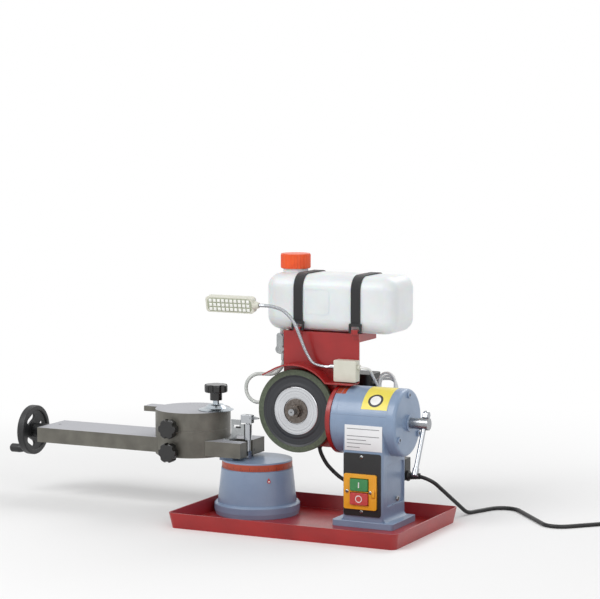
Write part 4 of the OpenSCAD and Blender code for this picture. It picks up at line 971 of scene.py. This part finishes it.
CAP_FACE_X, CAP_SCREW_R = 131.62, 41
# Dark crosses and hexagons on the screw heads are painted shade that stands in for their recesses
recess_shade = bmesh.new()
for x, y, z in ((77.5, -2.62, 26.5), (77.5, -2.62, 107), (56.0, -5.62, 56), (93.1, -5.62, 56)):
    cross(recess_shade, (x, y, z), (0, -1, 0), 1.7)
for angle in (90, 210, 330):
    a = math.radians(angle)
    spot = (CAP_FACE_X, BARREL_Y + CAP_SCREW_R * math.cos(a), BARREL_Z + CAP_SCREW_R * math.sin(a))
    lathe(recess_shade, [(0, 0), (2.5, 0), (2.5, 0.05), (0, 0.05)], spot, (1, 0, 0), 6)
lathe(recess_shade, [(0, 0), (2.3, 0), (2.3, 0.05), (0, 0.05)], (111.62, 56, 39), (1, 0, 0), 6)
piece("screw_recesses", recess_shade, "base", [dark_print_and_painted_shade])
side_screw = bmesh.new()
lathe(side_screw, [(0, 0), (4.2, 0), (4.2, 0.9), (3.6, 1.6), (0, 1.6)], (110, 56, 39), (1, 0, 0), 32)
piece("side_screw", side_screw, "base", [zinc_steel])

# Dark discs and a dark rounded patch are painted shade that stands in for two arm holes and a bracket slot
hole_shade = bmesh.new()
lathe(hole_shade, [(0, 0), (2.4, 0), (2.4, 0.04), (0, 0.04)], (-464.6, 42, 111.5), (0, 0, 1), 24)
lathe(hole_shade, [(0, 0), (2.2, 0), (2.2, 0.04), (0, 0.04)], (-122, 46, 96), (1, 0, 0), 24)
plate(hole_shade, rounded(9, 2.8, 1.3), (-141, 30.46, 131), (1, 0, 0), (0, 0, 1), 0.04)
piece("arm_holes", hole_shade, "table", [dark_print_and_painted_shade])

lever_screw = bmesh.new()
lathe(lever_screw, [(0, 0), (1.7, 0), (1.7, 3), (1.3, 3.4), (0, 3.4)], (159.6, 16.6, 85.6), (1, 0, 0), 20)
piece("lever_end_screw", lever_screw, "head", [black_abs])

# %% [markdown]
# Blow-moulded bottles have a shallow panel for a label, with a rounded rim, and motors have their end
# shield held by four long screws.

# %% Bottle panel and motor screws
panel = bmesh.new()
PANEL_X, PANEL_Z = -22, 324
STEPS = ((44, 38, 6, 52.02), (43.4, 37.4, 5.7, 51.6), (42.2, 36.2, 5.1, 51.6), (41.6, 35.6, 4.8, 52.02))
loops = [[panel.verts.new(mm((PANEL_X + u, y, PANEL_Z + v))) for u, v in rounded(wide, high, corner)]
         for wide, high, corner, y in STEPS]
for one, two in zip(loops, loops[1:]):
    for k in range(len(one)):
        j = (k + 1) % len(one)
        panel.faces.new((one[k], one[j], two[j], two[k]))
piece("bottle_panel_rim", panel, "head", [milky_pe], angle=60)
head = bmesh.new()
lathe(head, [(0, 0), (4.2, 0), (4.2, 2.4), (3.6, 3.0), (0, 3.0)], (0, 0, 0), (0, 0, 1), 6)
repeat(ring_of, "motor_screws", {"Count": 4, "Radius": 33 * MM}, head, zinc_steel, "head",
       at(WHEEL[0], 187, WHEEL[2]) @ turn(-90, "X") @ turn(45, "Z"))

# %% [markdown]
# The machine stands on white. The floor takes its soft shadow close by and fades to plain white
# further off. The world shows white to the camera, and in metal and plastic, while it lights the
# machine at half that level.

# %% Floor and world
def sees_white(tree):
    rays = add_node(tree, "ShaderNodeLightPath")
    mirrored = add_node(tree, "ShaderNodeMath",
                        {0: rays.outputs["Is Camera Ray"], 1: rays.outputs["Is Glossy Ray"]},
                        operation="MAXIMUM")
    through = add_node(tree, "ShaderNodeMath",
                       {0: mirrored.outputs[0], 1: rays.outputs["Is Transmission Ray"]},
                       operation="MAXIMUM")
    return through.outputs[0]


floor_paint, tree = new_finish("pale_studio_floor")
place = add_node(tree, "ShaderNodeTexCoord")
away = add_node(tree, "ShaderNodeVectorMath", {0: place.outputs["Object"]}, operation="LENGTH")
fade = add_node(tree, "ShaderNodeMapRange",
                {"Value": away.outputs["Value"], "From Min": 0.45, "From Max": 1.3},
                interpolation_type="SMOOTHSTEP")
white_here = add_node(tree, "ShaderNodeMath", {0: fade.outputs[0], 1: sees_white(tree)},
                      operation="MULTIPLY")
lit = add_node(tree, "ShaderNodeBsdfDiffuse", {"Color": (0.9, 0.9, 0.9, 1)})
white = add_node(tree, "ShaderNodeEmission", {"Color": (1, 1, 1, 1), "Strength": 1.0})
shown = add_node(tree, "ShaderNodeMixShader", {0: white_here.outputs[0], 1: lit.outputs[0],
                                               2: white.outputs[0]})
add_node(tree, "ShaderNodeOutputMaterial", {"Surface": shown.outputs[0]})

ground = bmesh.new()
bmesh.ops.create_circle(ground, cap_ends=True, segments=64, radius=60.0)
ground_mesh = bpy.data.meshes.new("studio_floor")
ground.to_mesh(ground_mesh)
ground.free()
ground_mesh.materials.append(floor_paint)
studio_floor = in_scene("studio_floor", ground_mesh)

world = bpy.data.worlds.new("studio")
bpy.context.scene.world = world
world.use_nodes = True
tree = world.node_tree
tree.nodes.clear()
soft = add_node(tree, "ShaderNodeBackground", {"Color": (1, 1, 1, 1), "Strength": 0.5})
white = add_node(tree, "ShaderNodeBackground", {"Color": (1, 1, 1, 1), "Strength": 1.0})
shown = add_node(tree, "ShaderNodeMixShader",
                 {0: sees_white(tree), 1: soft.outputs[0], 2: white.outputs[0]})
add_node(tree, "ShaderNodeOutputWorld", {"Surface": shown.outputs[0]})

# %% [markdown]
# Three soft boxes model the shapes: a strong one on the left in front, a weaker one on the right that
# opens the shadows, and one behind that draws the upper edges.

# %% Soft lights
for name, spot, size, power in (("key_softbox", (-0.9, -1.5, 1.9), 1.3, 26),
                                ("fill_softbox", (1.7, -1.3, 1.1), 1.5, 12),
                                ("rim_softbox", (0.3, 1.5, 1.6), 1.2, 14)):
    lamp_data = bpy.data.lights.new(name, "AREA")
    lamp_data.energy = power
    lamp_data.size = size
    softbox = in_scene(name, lamp_data)
    softbox.location = spot
    aim = Vector((0, 0.05, 0.15)) - Vector(spot)
    softbox.rotation_euler = aim.to_track_quat("-Z", "Y").to_euler()
